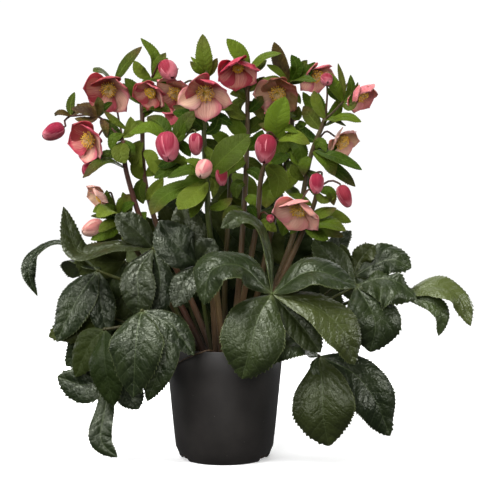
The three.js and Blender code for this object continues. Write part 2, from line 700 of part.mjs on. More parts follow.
function pedicel(from, via, end, way) {
  const last = end.clone().addScaledVector(way, -PEDICEL_STRAIGHT);
  return strand([spot(from), ...via.map(spot), last, end], PEDICEL_R, THIN_SIDES);
}

function stalk({ stand, path, bracts, arms = [], buds = [], blooms = [] }) {
  const parts = [strand([...footing(stand), ...path.map(spot)], STALK_R)];
  for (const arm of arms) parts.push(strand(arm.map(spot), ARM_R, THIN_SIDES));
  for (const [through, half, face] of bracts) {
    const shape = half < FOLDED_FROM ? { ...BRACT, columns: 1 } : BRACT;
    parts.push(blade(through.map(spot), half, face, shape));
  }
  for (const { from, via, at, way, r, long } of buds) {
    const foot = spot(at);
    const along = vec(...way).normalize();
    parts.push(pedicel(from, [via], foot, along), bud(foot, along, r, long));
  }
  for (const bloom of blooms) {
    const { origin, axis } = bloomFrame(bloom);
    const end = origin.clone().addScaledVector(axis, -BOWL.back - GAP);
    parts.push(pedicel(bloom.from, bloom.via, end, axis));
  }
  return fuse(parts);
}

// ---------------------------------------------------------------- blooms

// One row of three corners across each sepal: a share t along it, `half` wide to either side, with
// one edge a step up and the other a step down. It gives the places of the corners, and which way
// is up there.
function sepalRow(bloom, petal, t, halfAt, stepAt) {
  const { origin, axis, across, up } = bloomFrame(bloom);
  const first = rad(SEPAL_ROOT_ANGLE);
  const last = rad(THREE.MathUtils.lerp(...SEPAL_END_ANGLES, bloom.open));
  const bend = first + (last - first) * t;
  const out = BOWL.r + (bloom.size * (Math.cos(first) - Math.cos(bend))) / (last - first);
  const rise = (bloom.size * (Math.sin(bend) - Math.sin(first))) / (last - first);
  const turn = rad(bloom.roll) + (petal * 2 * Math.PI) / SEPALS;
  const radial = up.clone().multiplyScalar(Math.cos(turn)).addScaledVector(across, Math.sin(turn));
  const round = across.clone().multiplyScalar(Math.cos(turn)).addScaledVector(up, -Math.sin(turn));
  const lift = axis.clone().multiplyScalar(Math.sin(bend)).addScaledVector(radial, -Math.cos(bend));
  const half = halfAt(out);
  const corners = [-1, 0, 1].map((side) =>
    origin.clone()
      .addScaledVector(radial, out)
      .addScaledVector(axis, rise)
      .addScaledVector(round, half * side)
      .addScaledVector(lift, stepAt(half) * side + SEPAL_CUP * half * side * side));
  return { corners, lift };
}

// Half a sepal's width at a share t along it.
function sepalHalf(size, t) {
  const [widens, narrows] = SEPAL_WIDENS;
  const full = Math.pow(t / SEPAL_WIDEST, widens) * Math.pow((1 - t) / (1 - SEPAL_WIDEST), narrows);
  return Math.max(SEPAL_HALF * size * full, SEPAL_TIP);
}

// Five sepals that join in a small bowl and part at SEPAL_JOIN. There each steps up at one edge and
// down at the other, and past it each has one edge over its neighbour's.
function sepals(bloom) {
  const { origin, axis } = bloomFrame(bloom);
  const top = [origin.clone().addScaledVector(axis, BOWL.front)];
  const bottom = [origin.clone().addScaledVector(axis, -BOWL.back)];
  const add = ({ corners, lift }) =>
    corners.map((p) => {
      top.push(p.clone().addScaledVector(lift, SEPAL_THICK / 2));
      bottom.push(p.clone().addScaledVector(lift, -SEPAL_THICK / 2));
      return top.length - 1;
    });
  const joined = (out) => out * Math.tan(Math.PI / SEPALS) - SEPAL_STEP;
  const roots = Array.from({ length: SEPALS }, (_, petal) =>
    add(sepalRow(bloom, petal, SEPAL_JOIN, joined, () => SEPAL_STEP)));
  const faces = [];
  const rim = [];
  roots.forEach((root, petal) => {
    const before = roots[(petal + SEPALS - 1) % SEPALS];
    faces.push(0, before[2], root[0], 0, root[0], root[1], 0, root[1], root[2]);
    const rows = SEPAL_ROWS.map((t) =>
      add(sepalRow(bloom, petal, t, () => sepalHalf(bloom.size, t), (half) => SEPAL_LAP * half)));
    rows.forEach((next, i) => {
      const last = i ? rows[i - 1] : root;
      for (const side of [0, 1])
        faces.push(
          last[side], next[side + 1], last[side + 1],
          last[side], next[side], next[side + 1],
        );
    });
    const all = [root, ...rows];
    rim.push(
      ...all.map(([left]) => left),
      all.at(-1)[1],
      ...all.map(([, , right]) => right).reverse(),
    );
  });
  return solid(sheet(top, bottom, faces, rim));
}

// The stamens, as one turned body whose widest ring is drawn in and down between its spikes.
function crown(bloom) {
  const { foot, spike, between, core, top, spikes } = CROWN;
  const g = turned([[0, foot[1]], foot, spike, core, [0, top]], 2 * spikes);
  const at = g.attributes.position;
  for (let i = 0; i < at.count; i++) {
    const [x, z] = [at.getX(i), at.getZ(i)];
    const r = Math.hypot(x, z);
    const turn = Math.round((Math.atan2(z, x) / Math.PI) * spikes);
    const drawn = between[0] / r;
    if (Math.abs(r - spike[0]) < GAP && turn % 2) at.setXYZ(i, x * drawn, between[1], z * drawn);
  }
  const { origin, axis, across, up } = bloomFrame(bloom);
  return solid(g.applyMatrix4(new THREE.Matrix4().makeBasis(across, axis, up).setPosition(origin)));
}

// ---------------------------------------------------------------- the whole plant

const plant = new THREE.Group();
plant.add(node("pot", pot(), COLOURS.pot, 0.5));

const stems = [
  ...Object.values(LEAVES).map(({ stand }) => ({ stand, r: PETIOLE_R[0] })),
  ...Object.values(STALKS).map(({ stand }) => ({ stand, r: STALK_R[0] })),
];
plant.add(node("soil", soil(stems), COLOURS.soil, 0.95));

for (const [name, parts] of Object.entries(LEAVES))
  plant.add(node(`leaf_${name}`, leaf(parts), COLOURS.leaf, 0.4));

for (const [name, parts] of Object.entries(STALKS)) {
  plant.add(node(`stalk_${name}`, stalk(parts), COLOURS.stalk, 0.5));
  for (const bloom of parts.blooms ?? []) {
    plant.add(node(`bloom_${bloom.name}`, sepals(bloom), COLOURS.sepal, 0.5));
    if (bloom.open >= CROWN.seenFrom)
      plant.add(node(`crown_${bloom.name}`, crown(bloom), COLOURS.crown, 0.6));
  }
}

export default plant;
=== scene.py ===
"""A flowering hellebore in its black plastic nursery pot.

The plant is set out as it lines up from the front. A place is (across, up, back), in millimetres: it
lies on the sight line from EYE through the point that is `across` to the right of the pot's axis and
`up` above the floor, and it is `back` behind the upright plane through that axis. A way that
something faces or points is an (x, y, z) of any length. Each piece is made in millimetres, and is
brought to metres when it is finished.
"""

import logging
import math
import random
from collections.abc import Callable, Iterable, Sequence
from dataclasses import dataclass, field
from enum import Enum
from typing import NamedTuple

import bmesh
import bpy
from mathutils import Matrix, Vector, noise


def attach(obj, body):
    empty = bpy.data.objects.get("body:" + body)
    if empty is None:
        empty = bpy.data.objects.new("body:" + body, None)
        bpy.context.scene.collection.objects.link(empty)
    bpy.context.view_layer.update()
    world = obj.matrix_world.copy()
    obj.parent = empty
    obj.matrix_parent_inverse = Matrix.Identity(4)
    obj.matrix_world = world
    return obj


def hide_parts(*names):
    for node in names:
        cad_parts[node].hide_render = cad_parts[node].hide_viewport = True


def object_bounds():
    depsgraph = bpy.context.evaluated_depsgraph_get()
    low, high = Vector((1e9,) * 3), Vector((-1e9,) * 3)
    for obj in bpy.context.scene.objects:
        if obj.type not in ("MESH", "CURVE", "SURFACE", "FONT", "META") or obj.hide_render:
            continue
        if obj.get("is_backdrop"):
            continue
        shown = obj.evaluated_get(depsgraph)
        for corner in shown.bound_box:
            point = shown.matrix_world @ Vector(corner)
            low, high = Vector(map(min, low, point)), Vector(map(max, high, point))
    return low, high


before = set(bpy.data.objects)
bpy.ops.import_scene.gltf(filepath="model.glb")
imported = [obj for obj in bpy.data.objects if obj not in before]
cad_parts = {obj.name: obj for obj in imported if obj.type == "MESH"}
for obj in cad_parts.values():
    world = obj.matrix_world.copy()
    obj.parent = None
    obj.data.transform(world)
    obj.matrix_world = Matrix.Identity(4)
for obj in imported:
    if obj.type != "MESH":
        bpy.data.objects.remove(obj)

log = logging.getLogger("hellebore")

Place = tuple[float, float, float]
Colour = tuple[float, float, float]

METRE = 0.001
EYE = Vector((38.0, -1450.0, 309.0))
STEM_FEET = (134.3, 150.0)
WHITE = (1.0, 1.0, 1.0, 1.0)


class Slot(Enum):
    """The record's material slots."""

    POT = "pot_plastic"
    SOIL = "potting_soil"
    LEAF = "leaf"
    STALK = "stalk"
    SEPAL = "sepal"
    STAMEN = "stamen"


def spot(place: Place) -> Vector:
    """Returns the point of a place.

    Args:
        place: Across, up and back, in millimetres.

    Returns:
        The point, in millimetres.
    """
    across, up, back = place
    return EYE + (Vector((across, 0.0, up)) - EYE) * (1.0 + back / -EYE.y)


def blend(low: float, high: float, value: float) -> float:
    """Returns a smooth step: 0 below `low`, 1 above `high`."""
    share = min(max((value - low) / (high - low), 0.0), 1.0)
    return share * share * (3.0 - 2.0 * share)


def linked(name: str, data: bpy.types.ID) -> bpy.types.Object:
    """Returns a new object of the scene that holds a mesh, lamp or camera."""
    made = bpy.data.objects.new(name, data)
    bpy.context.scene.collection.objects.link(made)
    return made


class Route:
    """A smooth line through points."""

    def __init__(self, points: Sequence[Vector]) -> None:
        """Takes the points that the line passes through, in order."""
        ends = (points[0] * 2.0 - points[1], points[-1] * 2.0 - points[-2])
        self.knots = [ends[0], *points, ends[1]]
        self.spans = len(points) - 1
        marks = [self.at(i / 30) for i in range(31)]
        self.length = sum((b - a).length for a, b in zip(marks, marks[1:]))

    def at(self, share: float) -> Vector:
        """Returns the point at a share of the way.

        Args:
            share: How far along the line, from 0 to 1.

        Returns:
            The point, in millimetres.
        """
        span = min(int(share * self.spans), self.spans - 1)
        u = share * self.spans - span
        a, b, c, d = self.knots[span : span + 4]
        return (
            b * (2 * u**3 - 3 * u**2 + 1)
            + (c - a) * (0.5 * (u**3 - 2 * u**2 + u))
            + c * (3 * u**2 - 2 * u**3)
            + (d - b) * (0.5 * (u**3 - u**2))
        )

    def along(self, share: float) -> Vector:
        """Returns the direction of the line at a share of the way."""
        return (self.at(min(share + 1e-3, 1.0)) - self.at(max(share - 1e-3, 0.0))).normalized()


class Corner(NamedTuple):
    """A point of a sheet: where it is, which way is up, and on a leaf two numbers for its finish."""

    place: Vector
    lift: Vector
    across: float = 0.0
    phase: float = 0.0


class Trait(NamedTuple):
    """Three numbers that tell a finish how one leaf, petal or stem differs from the next."""

    first: float = 0.0
    second: float = 0.0
    chance: float = 0.0


class Maker:
    """Builds one piece's mesh, and carries the values that its finishes read.

    form holds how far across (-1 to 1) and along (0 to 1) a point lies, and on which face (1 the
    upper, -1 the lower). On a tube it holds the cosine, the share of the way, and the sine. size
    holds how far a leaf's point lies across, in mm, how far it has come from one side vein to the
    next, and the leaf's length. On a tube it holds the radius, the way along and the length.
    trait is a Trait.
    """

    rim = 0.999
    ring_step = 6.0

    def __init__(self) -> None:
        """Starts with an empty mesh."""
        self.bm = bmesh.new()
        layers = self.bm.verts.layers.float_vector
        self.form, self.size, self.trait = (layers.new(name) for name in ("form", "size", "trait"))

    def grid(self, columns: int, rows: int) -> tuple[list[bmesh.types.BMVert], list[bmesh.types.BMFace]]:
        """Returns the corners and faces of a new flat grid."""
        verts = bmesh.ops.create_grid(self.bm, x_segments=columns, y_segments=rows, size=1.0)["verts"]
        return verts, list({face for vert in verts for face in vert.link_faces})

    def sheet(
        self,
        columns: int,
        rows: int,
        corner: Callable[[float, float], Corner],
        thick: float,
        trait: Trait,
        material: int,
        length: float = 0.0,
    ) -> None:
        """Adds a closed thin sheet.

        Args:
            columns: Faces across.
            rows: Faces along.
            corner: Gives the corner at a share across (-1 to 1) and along (0 to 1).
            thick: Its thickness, in mm.
            trait: What its finish is told.
            material: The index of its finish.
            length: Its length, in mm, where its finish reads it.
        """
        rims = []
        known: dict[tuple[int, int], Corner] = {}
        for side in (1, -1):
            verts, faces = self.grid(columns, rows)
            lifts: dict[bmesh.types.BMVert, Vector] = {}
            for vert in verts:
                s, t = vert.co.x, (vert.co.y + 1.0) / 2.0
                key = (round((s + 1.0) * columns), round(t * rows))
                made = known.get(key) or known.setdefault(key, corner(s, t))
                vert.co = made.place + made.lift * (side * thick / 2.0)
                lifts[vert] = made.lift
                vert[self.form] = (s, t, side)
                vert[self.size] = (made.across, made.phase, length)
                vert[self.trait] = trait
            outward = 0.0
            for face in faces:
                face.material_index = material
                face.smooth = True
                face.normal_update()
                outward += face.normal.dot(lifts[face.verts[0]]) * face.calc_area() * side
            if outward < 0.0:
                bmesh.ops.reverse_faces(self.bm, faces=faces)
            rims += [edge for face in faces for edge in face.edges if edge.is_boundary]
        bridge = bmesh.ops.bridge_loops(self.bm, edges=list(set(rims)))
        for face in bridge["faces"]:
            face.material_index = material
            for edge in face.edges:
                edge.smooth = False

    def tube(
        self,
        route: Route,
        radius: Callable[[float], float],
        trait: Trait,
        material: int,
        sides: int = 10,
        rings: int = 0,
    ) -> None:
        """Adds a closed round stem.

        Args:
            route: The line that it follows.
            radius: Gives its radius, in mm, at a share of the way.
            trait: What its finish is told.
            material: The index of its finish.
            sides: Faces round it.
            rings: Faces along it, or 0 for one every few millimetres.
        """
        rings = rings or max(6, round(route.length / self.ring_step))
        verts, faces = self.grid(sides, rings)
        frames = []
        normal = Vector((1.0, 0.1, 0.0))
        for i in range(rings + 1):
            along = route.along(i / rings)
            normal = (normal - along * normal.dot(along)).normalized()
            frames.append((route.at(i / rings), normal, along.cross(normal)))
        seam = []
        for vert in verts:
            s, t = vert.co.x, (vert.co.y + 1.0) / 2.0
            if abs(s) > self.rim:
                seam.append(vert)
            turn = math.pi * (s + 1.0)
            centre, normal, beside = frames[round(t * rings)]
            r = radius(t)
            vert.co = centre + normal * (r * math.cos(turn)) + beside * (r * math.sin(turn))
            vert[self.form] = (math.cos(turn), t, math.sin(turn))
            vert[self.size] = (r, t * route.length, route.length)
            vert[self.trait] = trait
        for face in faces:
            face.material_index = material
            face.smooth = True
        bmesh.ops.remove_doubles(self.bm, verts=seam, dist=1e-3)
        ends = {edge for face in faces for edge in face.edges if edge.is_boundary}
        for face in bmesh.ops.holes_fill(self.bm, edges=list(ends), sides=sides)["faces"]:
            face.material_index = material

    def grain(self, centre: Vector, scale: Vector, trait: Trait, material: int, detail: int = 1) -> None:
        """Adds a small round grain.

        Args:
            centre: Its middle, in mm.
            scale: Its half sizes along x, y and z, in mm.
            trait: What its finish is told.
            material: The index of its finish.
            detail: How finely it is divided.
        """
        place = Matrix.Translation(centre) @ Matrix.Diagonal((*scale, 1.0))
        made = bmesh.ops.create_icosphere(self.bm, subdivisions=detail, radius=1.0, matrix=place)
        for vert in made["verts"]:
            vert[self.trait] = trait
            for face in vert.link_faces:
                face.material_index = material
                face.smooth = True

    def finish(
        self, name: str, materials: Iterable[bpy.types.Material], slot: Slot, *nodes: str
    ) -> None:
        """Makes the piece, in metres, and sets it on the root body.

        Args:
            name: The piece's name.
            materials: Its finishes, in the order of their indices.
            slot: The record's slot that it belongs to; not used.
            nodes: The solids that it stands for.
        """
        bmesh.ops.scale(self.bm, vec=(METRE, METRE, METRE), verts=self.bm.verts)
        mesh = bpy.data.meshes.new(name)
        self.bm.to_mesh(mesh)
        self.bm.free()
        for material in materials:
            mesh.materials.append(material)
        piece = linked(name, mesh)
        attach(piece, "root")
        if nodes:
            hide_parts(*nodes)
        log.info("%s: %d faces", name, len(mesh.polygons))


# ---------------------------------------------------------------- finishes


class Value:
    """A value that a material works out, to be used in sums with numbers and other values."""

    def __init__(self, graph: "Graph", socket: bpy.types.NodeSocket) -> None:
        """Takes the graph and the socket that gives the value."""
        self.graph, self.socket = graph, socket

    def __add__(self, other: object) -> "Value":
        """Returns the sum."""
        return self.graph.maths("ADD", self, other)

    def __sub__(self, other: object) -> "Value":
        """Returns the difference."""
        return self.graph.maths("SUBTRACT", self, other)

    def __rsub__(self, other: object) -> "Value":
        """Returns the difference from a number."""
        return self.graph.maths("SUBTRACT", other, self)

    def __mul__(self, other: object) -> "Value":
        """Returns the product."""
        return self.graph.maths("MULTIPLY", self, other)

    def __abs__(self) -> "Value":
        """Returns the size without its sign."""
        return self.graph.maths("ABSOLUTE", self)

    def fraction(self) -> "Value":
        """Returns what is left over the whole number below."""
        return self.graph.maths("FRACT", self)

    def most(self, other: object) -> "Value":
        """Returns the larger of the two."""
        return self.graph.maths("MAXIMUM", self, other)

    def held(self) -> "Value":
        """Returns the same, held between 0 and 1."""
        self.socket.node.use_clamp = True
        return self


class Graph:
    """A material's node tree, with short ways to add to it."""

    def __init__(self, name: str) -> None:
        """Starts a material with its own Principled shader."""
        self.material = bpy.data.materials.new(name)
        self.material.use_nodes = True
        self.tree = self.material.node_tree
        self.shader = self.tree.nodes["Principled BSDF"]

    def put(self, socket: bpy.types.NodeSocket, value: object) -> None:
        """Links a socket to a value, or sets it to a number or a colour."""
        if isinstance(value, Value):
            self.tree.links.new(value.socket, socket)
        elif isinstance(value, tuple) and socket.type == "RGBA":
            socket.default_value = (*value, 1.0)
        else:
            socket.default_value = value

    def node(
        self, kind: str, inputs: dict[str | int, object], output: str | int, **settings: object
    ) -> Value:
        """Adds a node.

        Args:
            kind: Its kind.
            inputs: What goes into its sockets.
            output: The socket that gives its value.
            settings: Its settings.

        Returns:
            Its value.
        """
        made = self.tree.nodes.new(f"ShaderNode{kind}")
        for key, setting in settings.items():
            setattr(made, key, setting)
        for key, value in inputs.items():
            self.put(made.inputs[key], value)
        return Value(self, made.outputs[output])

    def maths(self, kind: str, *values: object) -> Value:
        """Returns the result of a sum."""
        return self.node("Math", dict(enumerate(values)), 0, operation=kind)

    def split(self, vector: Value) -> list[Value]:
        """Returns the three values of a vector."""
        first = self.node("SeparateXYZ", {0: vector}, 0)
        return [Value(self, socket) for socket in first.socket.node.outputs]

    def read(self, name: str) -> list[Value]:
        """Returns the three values of one of the piece's own attributes."""
        return self.split(self.node("Attribute", {}, "Vector", attribute_name=name))

    def point(self, x: object, y: object, z: object = 0.0) -> Value:
        """Returns a vector of three values."""
        return self.node("CombineXYZ", {0: x, 1: y, 2: z}, 0)

    def place(self) -> Value:
        """Returns the place on the piece, in metres."""
        return self.node("TexCoord", {}, "Object")

    def step(
        self, value: Value, low: float, high: object, bottom: float = 0.0, top: float = 1.0
    ) -> Value:
        """Returns a smooth step from `bottom` to `top` as the value goes from `low` to `high`."""
        ends = {"Value": value, "From Min": low, "From Max": high, "To Min": bottom, "To Max": top}
        return self.node("MapRange", ends, 0, interpolation_type="SMOOTHSTEP")

    def mix(self, share: object, first: object, second: object) -> Value:
        """Returns a mix of two colours."""
        return self.node("Mix", {"Factor": share, 6: first, 7: second}, 2, data_type="RGBA")

    def noise(self, vector: Value, scale: float, detail: float = 2.0, rough: float = 0.5) -> Value:
        """Returns cloudy noise, from 0 to 1."""
        inputs = {"Vector": vector, "Scale": scale, "Detail": detail, "Roughness": rough}
        return self.node("TexNoise", inputs, "Fac")

    def cells(self, vector: Value, scale: float, feature: str = "DISTANCE_TO_EDGE") -> Value:
        """Returns the distance inside random cells."""
        return self.node("TexVoronoi", {"Vector": vector, "Scale": scale}, "Distance", feature=feature)

    def bump(self, height: Value, depth: float) -> None:
        """Dents the surface by a height from 0 to 1, `depth` metres deep."""
        inputs = {"Strength": 1.0, "Distance": depth, "Height": height}
        self.put(self.shader.inputs["Normal"], self.node("Bump", inputs, 0))

    def set(self, **values: object) -> bpy.types.Material:
        """Sets the shader's sockets, named with _ for a space, and returns the material."""
        for name, value in values.items():
            self.put(self.shader.inputs[name.replace("_", " ").title().replace("Ior", "IOR")], value)
        return self.material


@dataclass(frozen=True)
class LeafFinish:
    """Veined leaf skin.

    Its trait is how pale the leaf is (below 0, how near to its low colours), how yellow, and a
    chance number. The spacings are in mm on the leaf, and the relief is in metres.
    """

    name: str
    dark: Colour
    light: Colour
    pale: Colour
    under: Colour
    vein: Colour
    edge: Colour
    gloss: float
    vein_step: float
    mesh: float = 0.15
    quilt: float = 1.0
    relief: float = 0.00045
    shine: float = 0.5
    low: Colour = (0.0040, 0.0068, 0.0030)
    low_light: Colour = (0.0100, 0.0150, 0.0060)
    sheen: Colour = (0.95, 1.0, 0.82)
    tipped: float = 0.0
    yellowed: Colour = (0.26, 0.27, 0.045)

    def make(self) -> bpy.types.Material:
        """Returns the material."""
        g = Graph(self.name)
        s, t, side = g.read("form")
        across, phase, length = g.read("size")
        pale, yellow, chance = g.read("trait")
        place, edgeward, along = g.place(), abs(s), t * length
        gap = (0.5 - abs(phase.fraction() - 0.5)) * self.vein_step
        side_vein = g.step(gap, 0.15, g.step(edgeward, 0.0, 1.0, 0.75, 0.4), 1.0, 0.0)
        rib = g.step(abs(across), 0.2, g.step(t, 0.0, 1.0, 1.5, 0.55), 1.0, 0.0)
        vein = rib.most(side_vein * g.step(edgeward, 0.75, 1.0, 0.75, 0.0))
        flat = g.point(across, along, chance)
        warp = g.noise(flat, 0.11) * 6.0
        skin = g.point(across + warp, along - warp, chance)
        meshes = g.cells(skin, self.mesh)
        net = g.step(meshes, 0.0, 0.10, 1.0, 0.0)
        dome = g.step(meshes, 0.0, 0.42)
        fine = g.step(g.cells(skin, self.mesh * 3.4), 0.0, 0.16, 1.0, 0.0)
        colour = g.mix(g.step(g.noise(place, 26.0, 3.0), 0.35, 0.68), self.dark, self.light)
        colour = g.mix(g.step(gap, 0.0, 0.3 * self.vein_step, 0.45, 0.0), colour, self.dark)
        colour = g.mix(pale, colour, self.pale)
        colour = g.mix(net * 0.10, colour, self.vein)
        colour = g.mix(vein * 0.55, colour, self.vein)
        rim = g.step(edgeward, 0.965, 1.0).most(g.step(t, 0.0, 0.10, 0.8, 0.0))
        colour = g.mix(rim * 0.55, colour, self.edge)
        below = g.mix(net * 0.2, g.mix(vein * 0.7, self.under, self.edge), self.vein)
        colour = g.mix(g.step(side, -0.9, 0.9, 1.0, 0.0), colour, below)
        colour = g.mix(yellow, colour, self.yellowed)
        tipped = g.step((chance * 7.3).fraction(), 0.55, 1.0) * g.step(t, 0.5, 1.0)
        low = g.step(pale, -0.8, 0.0, 0.9, 0.0).most(tipped * self.tipped)
        low = low * g.step(g.noise(place, 38.0), 0.2, 0.5, 0.6, 1.0)
        cloud = g.noise(place, 60.0)
        colour = g.mix(low, colour, g.mix(g.step(cloud, 0.35, 0.65), self.low, self.low_light))
        spots = g.step(g.noise(flat, 0.55, 1.0), 0.74, 0.80)
        colour = g.mix(spots * 0.4, colour, self.edge)
        height = net * -0.2 + dome * (0.62 * self.quilt) + fine * -0.09 + vein * -0.32
        height = height + g.step(gap, 0.0, 0.32 * self.vein_step) * (0.5 * self.quilt)
        g.bump(height, self.relief)
        rough = cloud * 0.14 + (self.gloss - 0.07) + g.step(side, -0.9, 0.9, 0.22, 0.0)
        return g.set(
            base_color=colour, roughness=rough, specular_ior_level=self.shine, specular_tint=self.sheen
        )


@dataclass(frozen=True)
class SepalFinish:
    """The skin of a petal-like sepal.

    Its trait is how deep its rose is, how olive it is, and a chance number.
    """

    name: str
    inner: Colour
    inner_pink: Colour
    inner_rose: Colour
    outer: Colour
    outer_pale: Colour
    olive: Colour
    # base: the dark colour near the heart, partly the sepal's own red-brown and partly painted shade deep in
    # the cup.
    base: Colour
    pale_rim: float = 0.3
    rim_from: float = 0.35
    relief: float = 0.0004

    def make(self) -> bpy.types.Material:
        """Returns the material."""
        g = Graph(self.name)
        s, t, side = g.read("form")
        rose, olive, chance = g.read("trait")
        wander = g.noise(g.point(s * 3.0, t * 4.0, chance), 1.0)
        vein = g.step(abs((s * 5.5 + wander * 1.6).fraction() - 0.5), 0.40, 0.49)
        streak = g.step(g.noise(g.point(s * 18.0, t * 1.6, chance), 1.0, 3.0, 0.65), 0.28, 0.72)
        rim = g.step(abs(s), self.rim_from, 1.0).most(g.step(t, 0.75, 1.0))
        blush = (streak * 0.40 + rim * 0.75 - 0.29 + rose).held()
        inside = g.mix(blush, self.inner, g.mix((rose * 1.5).held(), self.inner_pink, self.inner_rose))
        # Towards the heart the inside turns to the base colour: partly its own red-brown, partly painted
        # shade in the cup.
        inside = g.mix(g.step(t, 0.05, 0.48, 0.9, 0.0), inside, self.base)
        deep = (rose * 0.9 + (streak * 0.28 - 0.04)).held()
        deep = (deep - rim * self.pale_rim).held()
        outside = g.mix(deep, self.outer_pale, self.outer)
        outside = g.mix(g.step(t, 0.0, 0.22, 0.5, 0.0), outside, self.olive)
        colour = g.mix(g.step(side, -0.9, 0.9), outside, inside)
        colour = g.mix(vein * 0.3, colour, self.outer)
        patch = g.step(g.noise(g.place(), 45.0), 0.3, 0.62)
        colour = g.mix((olive * (patch * 0.5 + 0.5)).held(), colour, self.olive)
        g.bump(vein * -0.5 + streak * 0.7, self.relief)
        return g.set(
            base_color=colour,
            roughness=streak * 0.15 + 0.45,
            subsurface_weight=0.12,
            subsurface_radius=(0.004, 0.0016, 0.0012),
            subsurface_scale=1.0,
            specular_ior_level=0.22,
            specular_tint=(1.0, 0.55, 0.50),
        )


@dataclass(frozen=True)
class StemFinish:
    """The skin of a stem. Its trait is how red it is, how tan, and a chance number."""

    name: str
    green: Colour
    red: Colour
    tan: Colour
    freckle: Colour
    # foot: the colour of painted shade, which darkens the stems towards the soil.
    foot: Colour = (0.020, 0.012, 0.007)
    relief: float = 0.0005

    def make(self) -> bpy.types.Material:
        """Returns the material."""
        g = Graph(self.name)
        cosine, _, sine = g.read("form")
        _, along, _ = g.read("size")
        red, tan, _ = g.read("trait")
        _, _, height = g.split(g.place())
        wound = g.point(cosine * 2.6, along * 0.035, sine * 2.6)
        streak = g.noise(wound, 1.4, 3.0, 0.6)
        fine = g.noise(wound, 6.0)
        colour = g.mix(g.step(streak, 0.3, 0.7), self.green, tuple(c * 1.5 for c in self.green))
        flush = (red * 1.5 + (streak * 0.9 - 0.75)).held()
        colour = g.mix(flush, colour, self.red)
        low = g.step(height, 0.17, 0.33, 0.9, 0.0) * g.step(streak, 0.2, 0.6, 0.6, 1.0)
        colour = g.mix(tan * low, colour, self.tan)
        dots = g.step(g.noise(g.point(cosine, along * 0.5, sine), 3.2), 0.56, 0.66)
        colour = g.mix(dots * (red * 0.4 + 0.25), colour, self.freckle)
        # Painted shade: below a set height the stem darkens to the foot colour, towards the soil.
        colour = g.mix(g.step(height, 0.165, 0.245, 0.85, 0.0), colour, self.foot)
        g.bump(fine * 0.4 + streak, self.relief)
        return g.set(base_color=colour, roughness=fine * 0.2 + 0.36, specular_ior_level=0.25)


@dataclass(frozen=True)
class PowderFinish:
    """A fine soft-coloured surface, for stamens and the other small parts of a bloom's heart."""

    name: str
    first: Colour
    second: Colour
    roughness: float

    def make(self) -> bpy.types.Material:
        """Returns the material."""
        g = Graph(self.name)
        _, _, chance = g.read("trait")
        cloud = g.noise(g.place(), 700.0)
        share = (chance * 0.6 + (cloud * 0.8 - 0.2)).held()
        g.bump(cloud, 0.0003)
        colour = g.mix(share, self.first, self.second)
        return g.set(base_color=colour, roughness=self.roughness, specular_ior_level=0.1)


@dataclass(frozen=True)
class PotFinish:
    """Black moulded plastic, softly shining, with dust, scuffs and pale specks."""

    name: str = "moulded_plastic"
    black: Colour = (0.0190, 0.0168, 0.0155)
    worn: Colour = (0.034, 0.030, 0.027)
    speck: Colour = (0.16, 0.145, 0.13)

    def make(self) -> bpy.types.Material:
        """Returns the material."""
        g = Graph(self.name)
        place = g.place()
        _, _, height = g.split(place)
        cloud = g.noise(place, 18.0, 4.0, 0.6)
        rub = g.noise(place, 90.0, 3.0, 0.7)
        low = g.step(height, 0.004, 0.03, 1.0, 0.0)
        scuff = g.step(rub * cloud, 0.27, 0.42) * (low * 0.8 + 0.16)
        specks = g.step(g.cells(place, 62.0, "F1"), 0.02, 0.055, 1.0, 0.0)
        colour = g.mix(g.step(cloud, 0.3, 0.75), self.black, tuple(c * 1.5 for c in self.black))
        colour = g.mix(scuff, colour, self.worn)
        colour = g.mix(specks * 0.5, colour, self.speck)
        g.bump(rub * 0.4 + g.noise(place, 1500.0, 1.0), 0.00012)
        rough = cloud * 0.16 + 0.34 + scuff * 0.2
        return g.set(base_color=colour, roughness=rough, specular_ior_level=0.40)


@dataclass(frozen=True)
class SoilFinish:
    """Dark crumbly peat."""

    name: str = "peat"
    dark: Colour = (0.012, 0.008, 0.006)
    light: Colour = (0.060, 0.038, 0.024)
    fibre: Colour = (0.16, 0.105, 0.06)

    def make(self) -> bpy.types.Material:
        """Returns the material."""
        g = Graph(self.name)
        place = g.place()
        lump = g.noise(place, 140.0, 4.0, 0.7)
        colour = g.mix(g.step(lump, 0.3, 0.75), self.dark, self.light)
        fibres = g.step(g.noise(place, 420.0), 0.66, 0.74)
        colour = g.mix(fibres * 0.6, colour, self.fibre)
        g.bump(lump + g.cells(place, 330.0, "F1") * 0.6, 0.003)
        return g.set(base_color=colour, roughness=0.93)


@dataclass(frozen=True)
class StageFinish:
    """The plain pale floor and backdrop."""

    name: str = "pale_floor"
    white: Colour = (0.93, 0.93, 0.93)
    glow: float = 0.42

    def make(self) -> bpy.types.Material:
        """Returns the material."""
        return Graph(self.name).set(
            base_color=self.white, roughness=0.9, emission_color=self.white, emission_strength=self.glow
        )


# ---------------------------------------------------------------- leaf blades


@dataclass(frozen=True)
class BladeShape:
    """How one kind of blade is shaped. Lengths are in mm, the rest are shares of its half width."""

    root: float
    tip: float
    fold: float
    droop: float
    tooth: float
    tooth_deep: float
    pucker: float
    wobble: float
    vein_step: float
    columns: int
    thick: float = 0.8


BASAL = BladeShape(1.0, 0.85, 0.40, 0.42, 4.6, 2.0, 0.6, 5.0, 19.0, 16)
SLIM = BladeShape(1.0, 0.85, 0.40, 0.35, 4.4, 1.5, 0.5, 3.6, 16.0, 12)
BRACT = BladeShape(0.8, 0.8, 0.3, 0.2, 3.2, 0.9, 0.3, 2.2, 8.0, 8, 0.6)
SMALL_BRACT = BladeShape(0.8, 0.8, 0.3, 0.2, 3.2, 0.7, 0.2, 1.8, 7.0, 6, 0.5)


class Leaflet(NamedTuple):
    """One blade of a leaf: where it runs from the hub, half its width or (left, right), and the way
    it faces. A wave is how far its edge swings, in mm, and waves is how often."""

    through: list[Place]
    half: float | tuple[float, float]
    face: Place
    wave: float = 0.0
    waves: int = 2


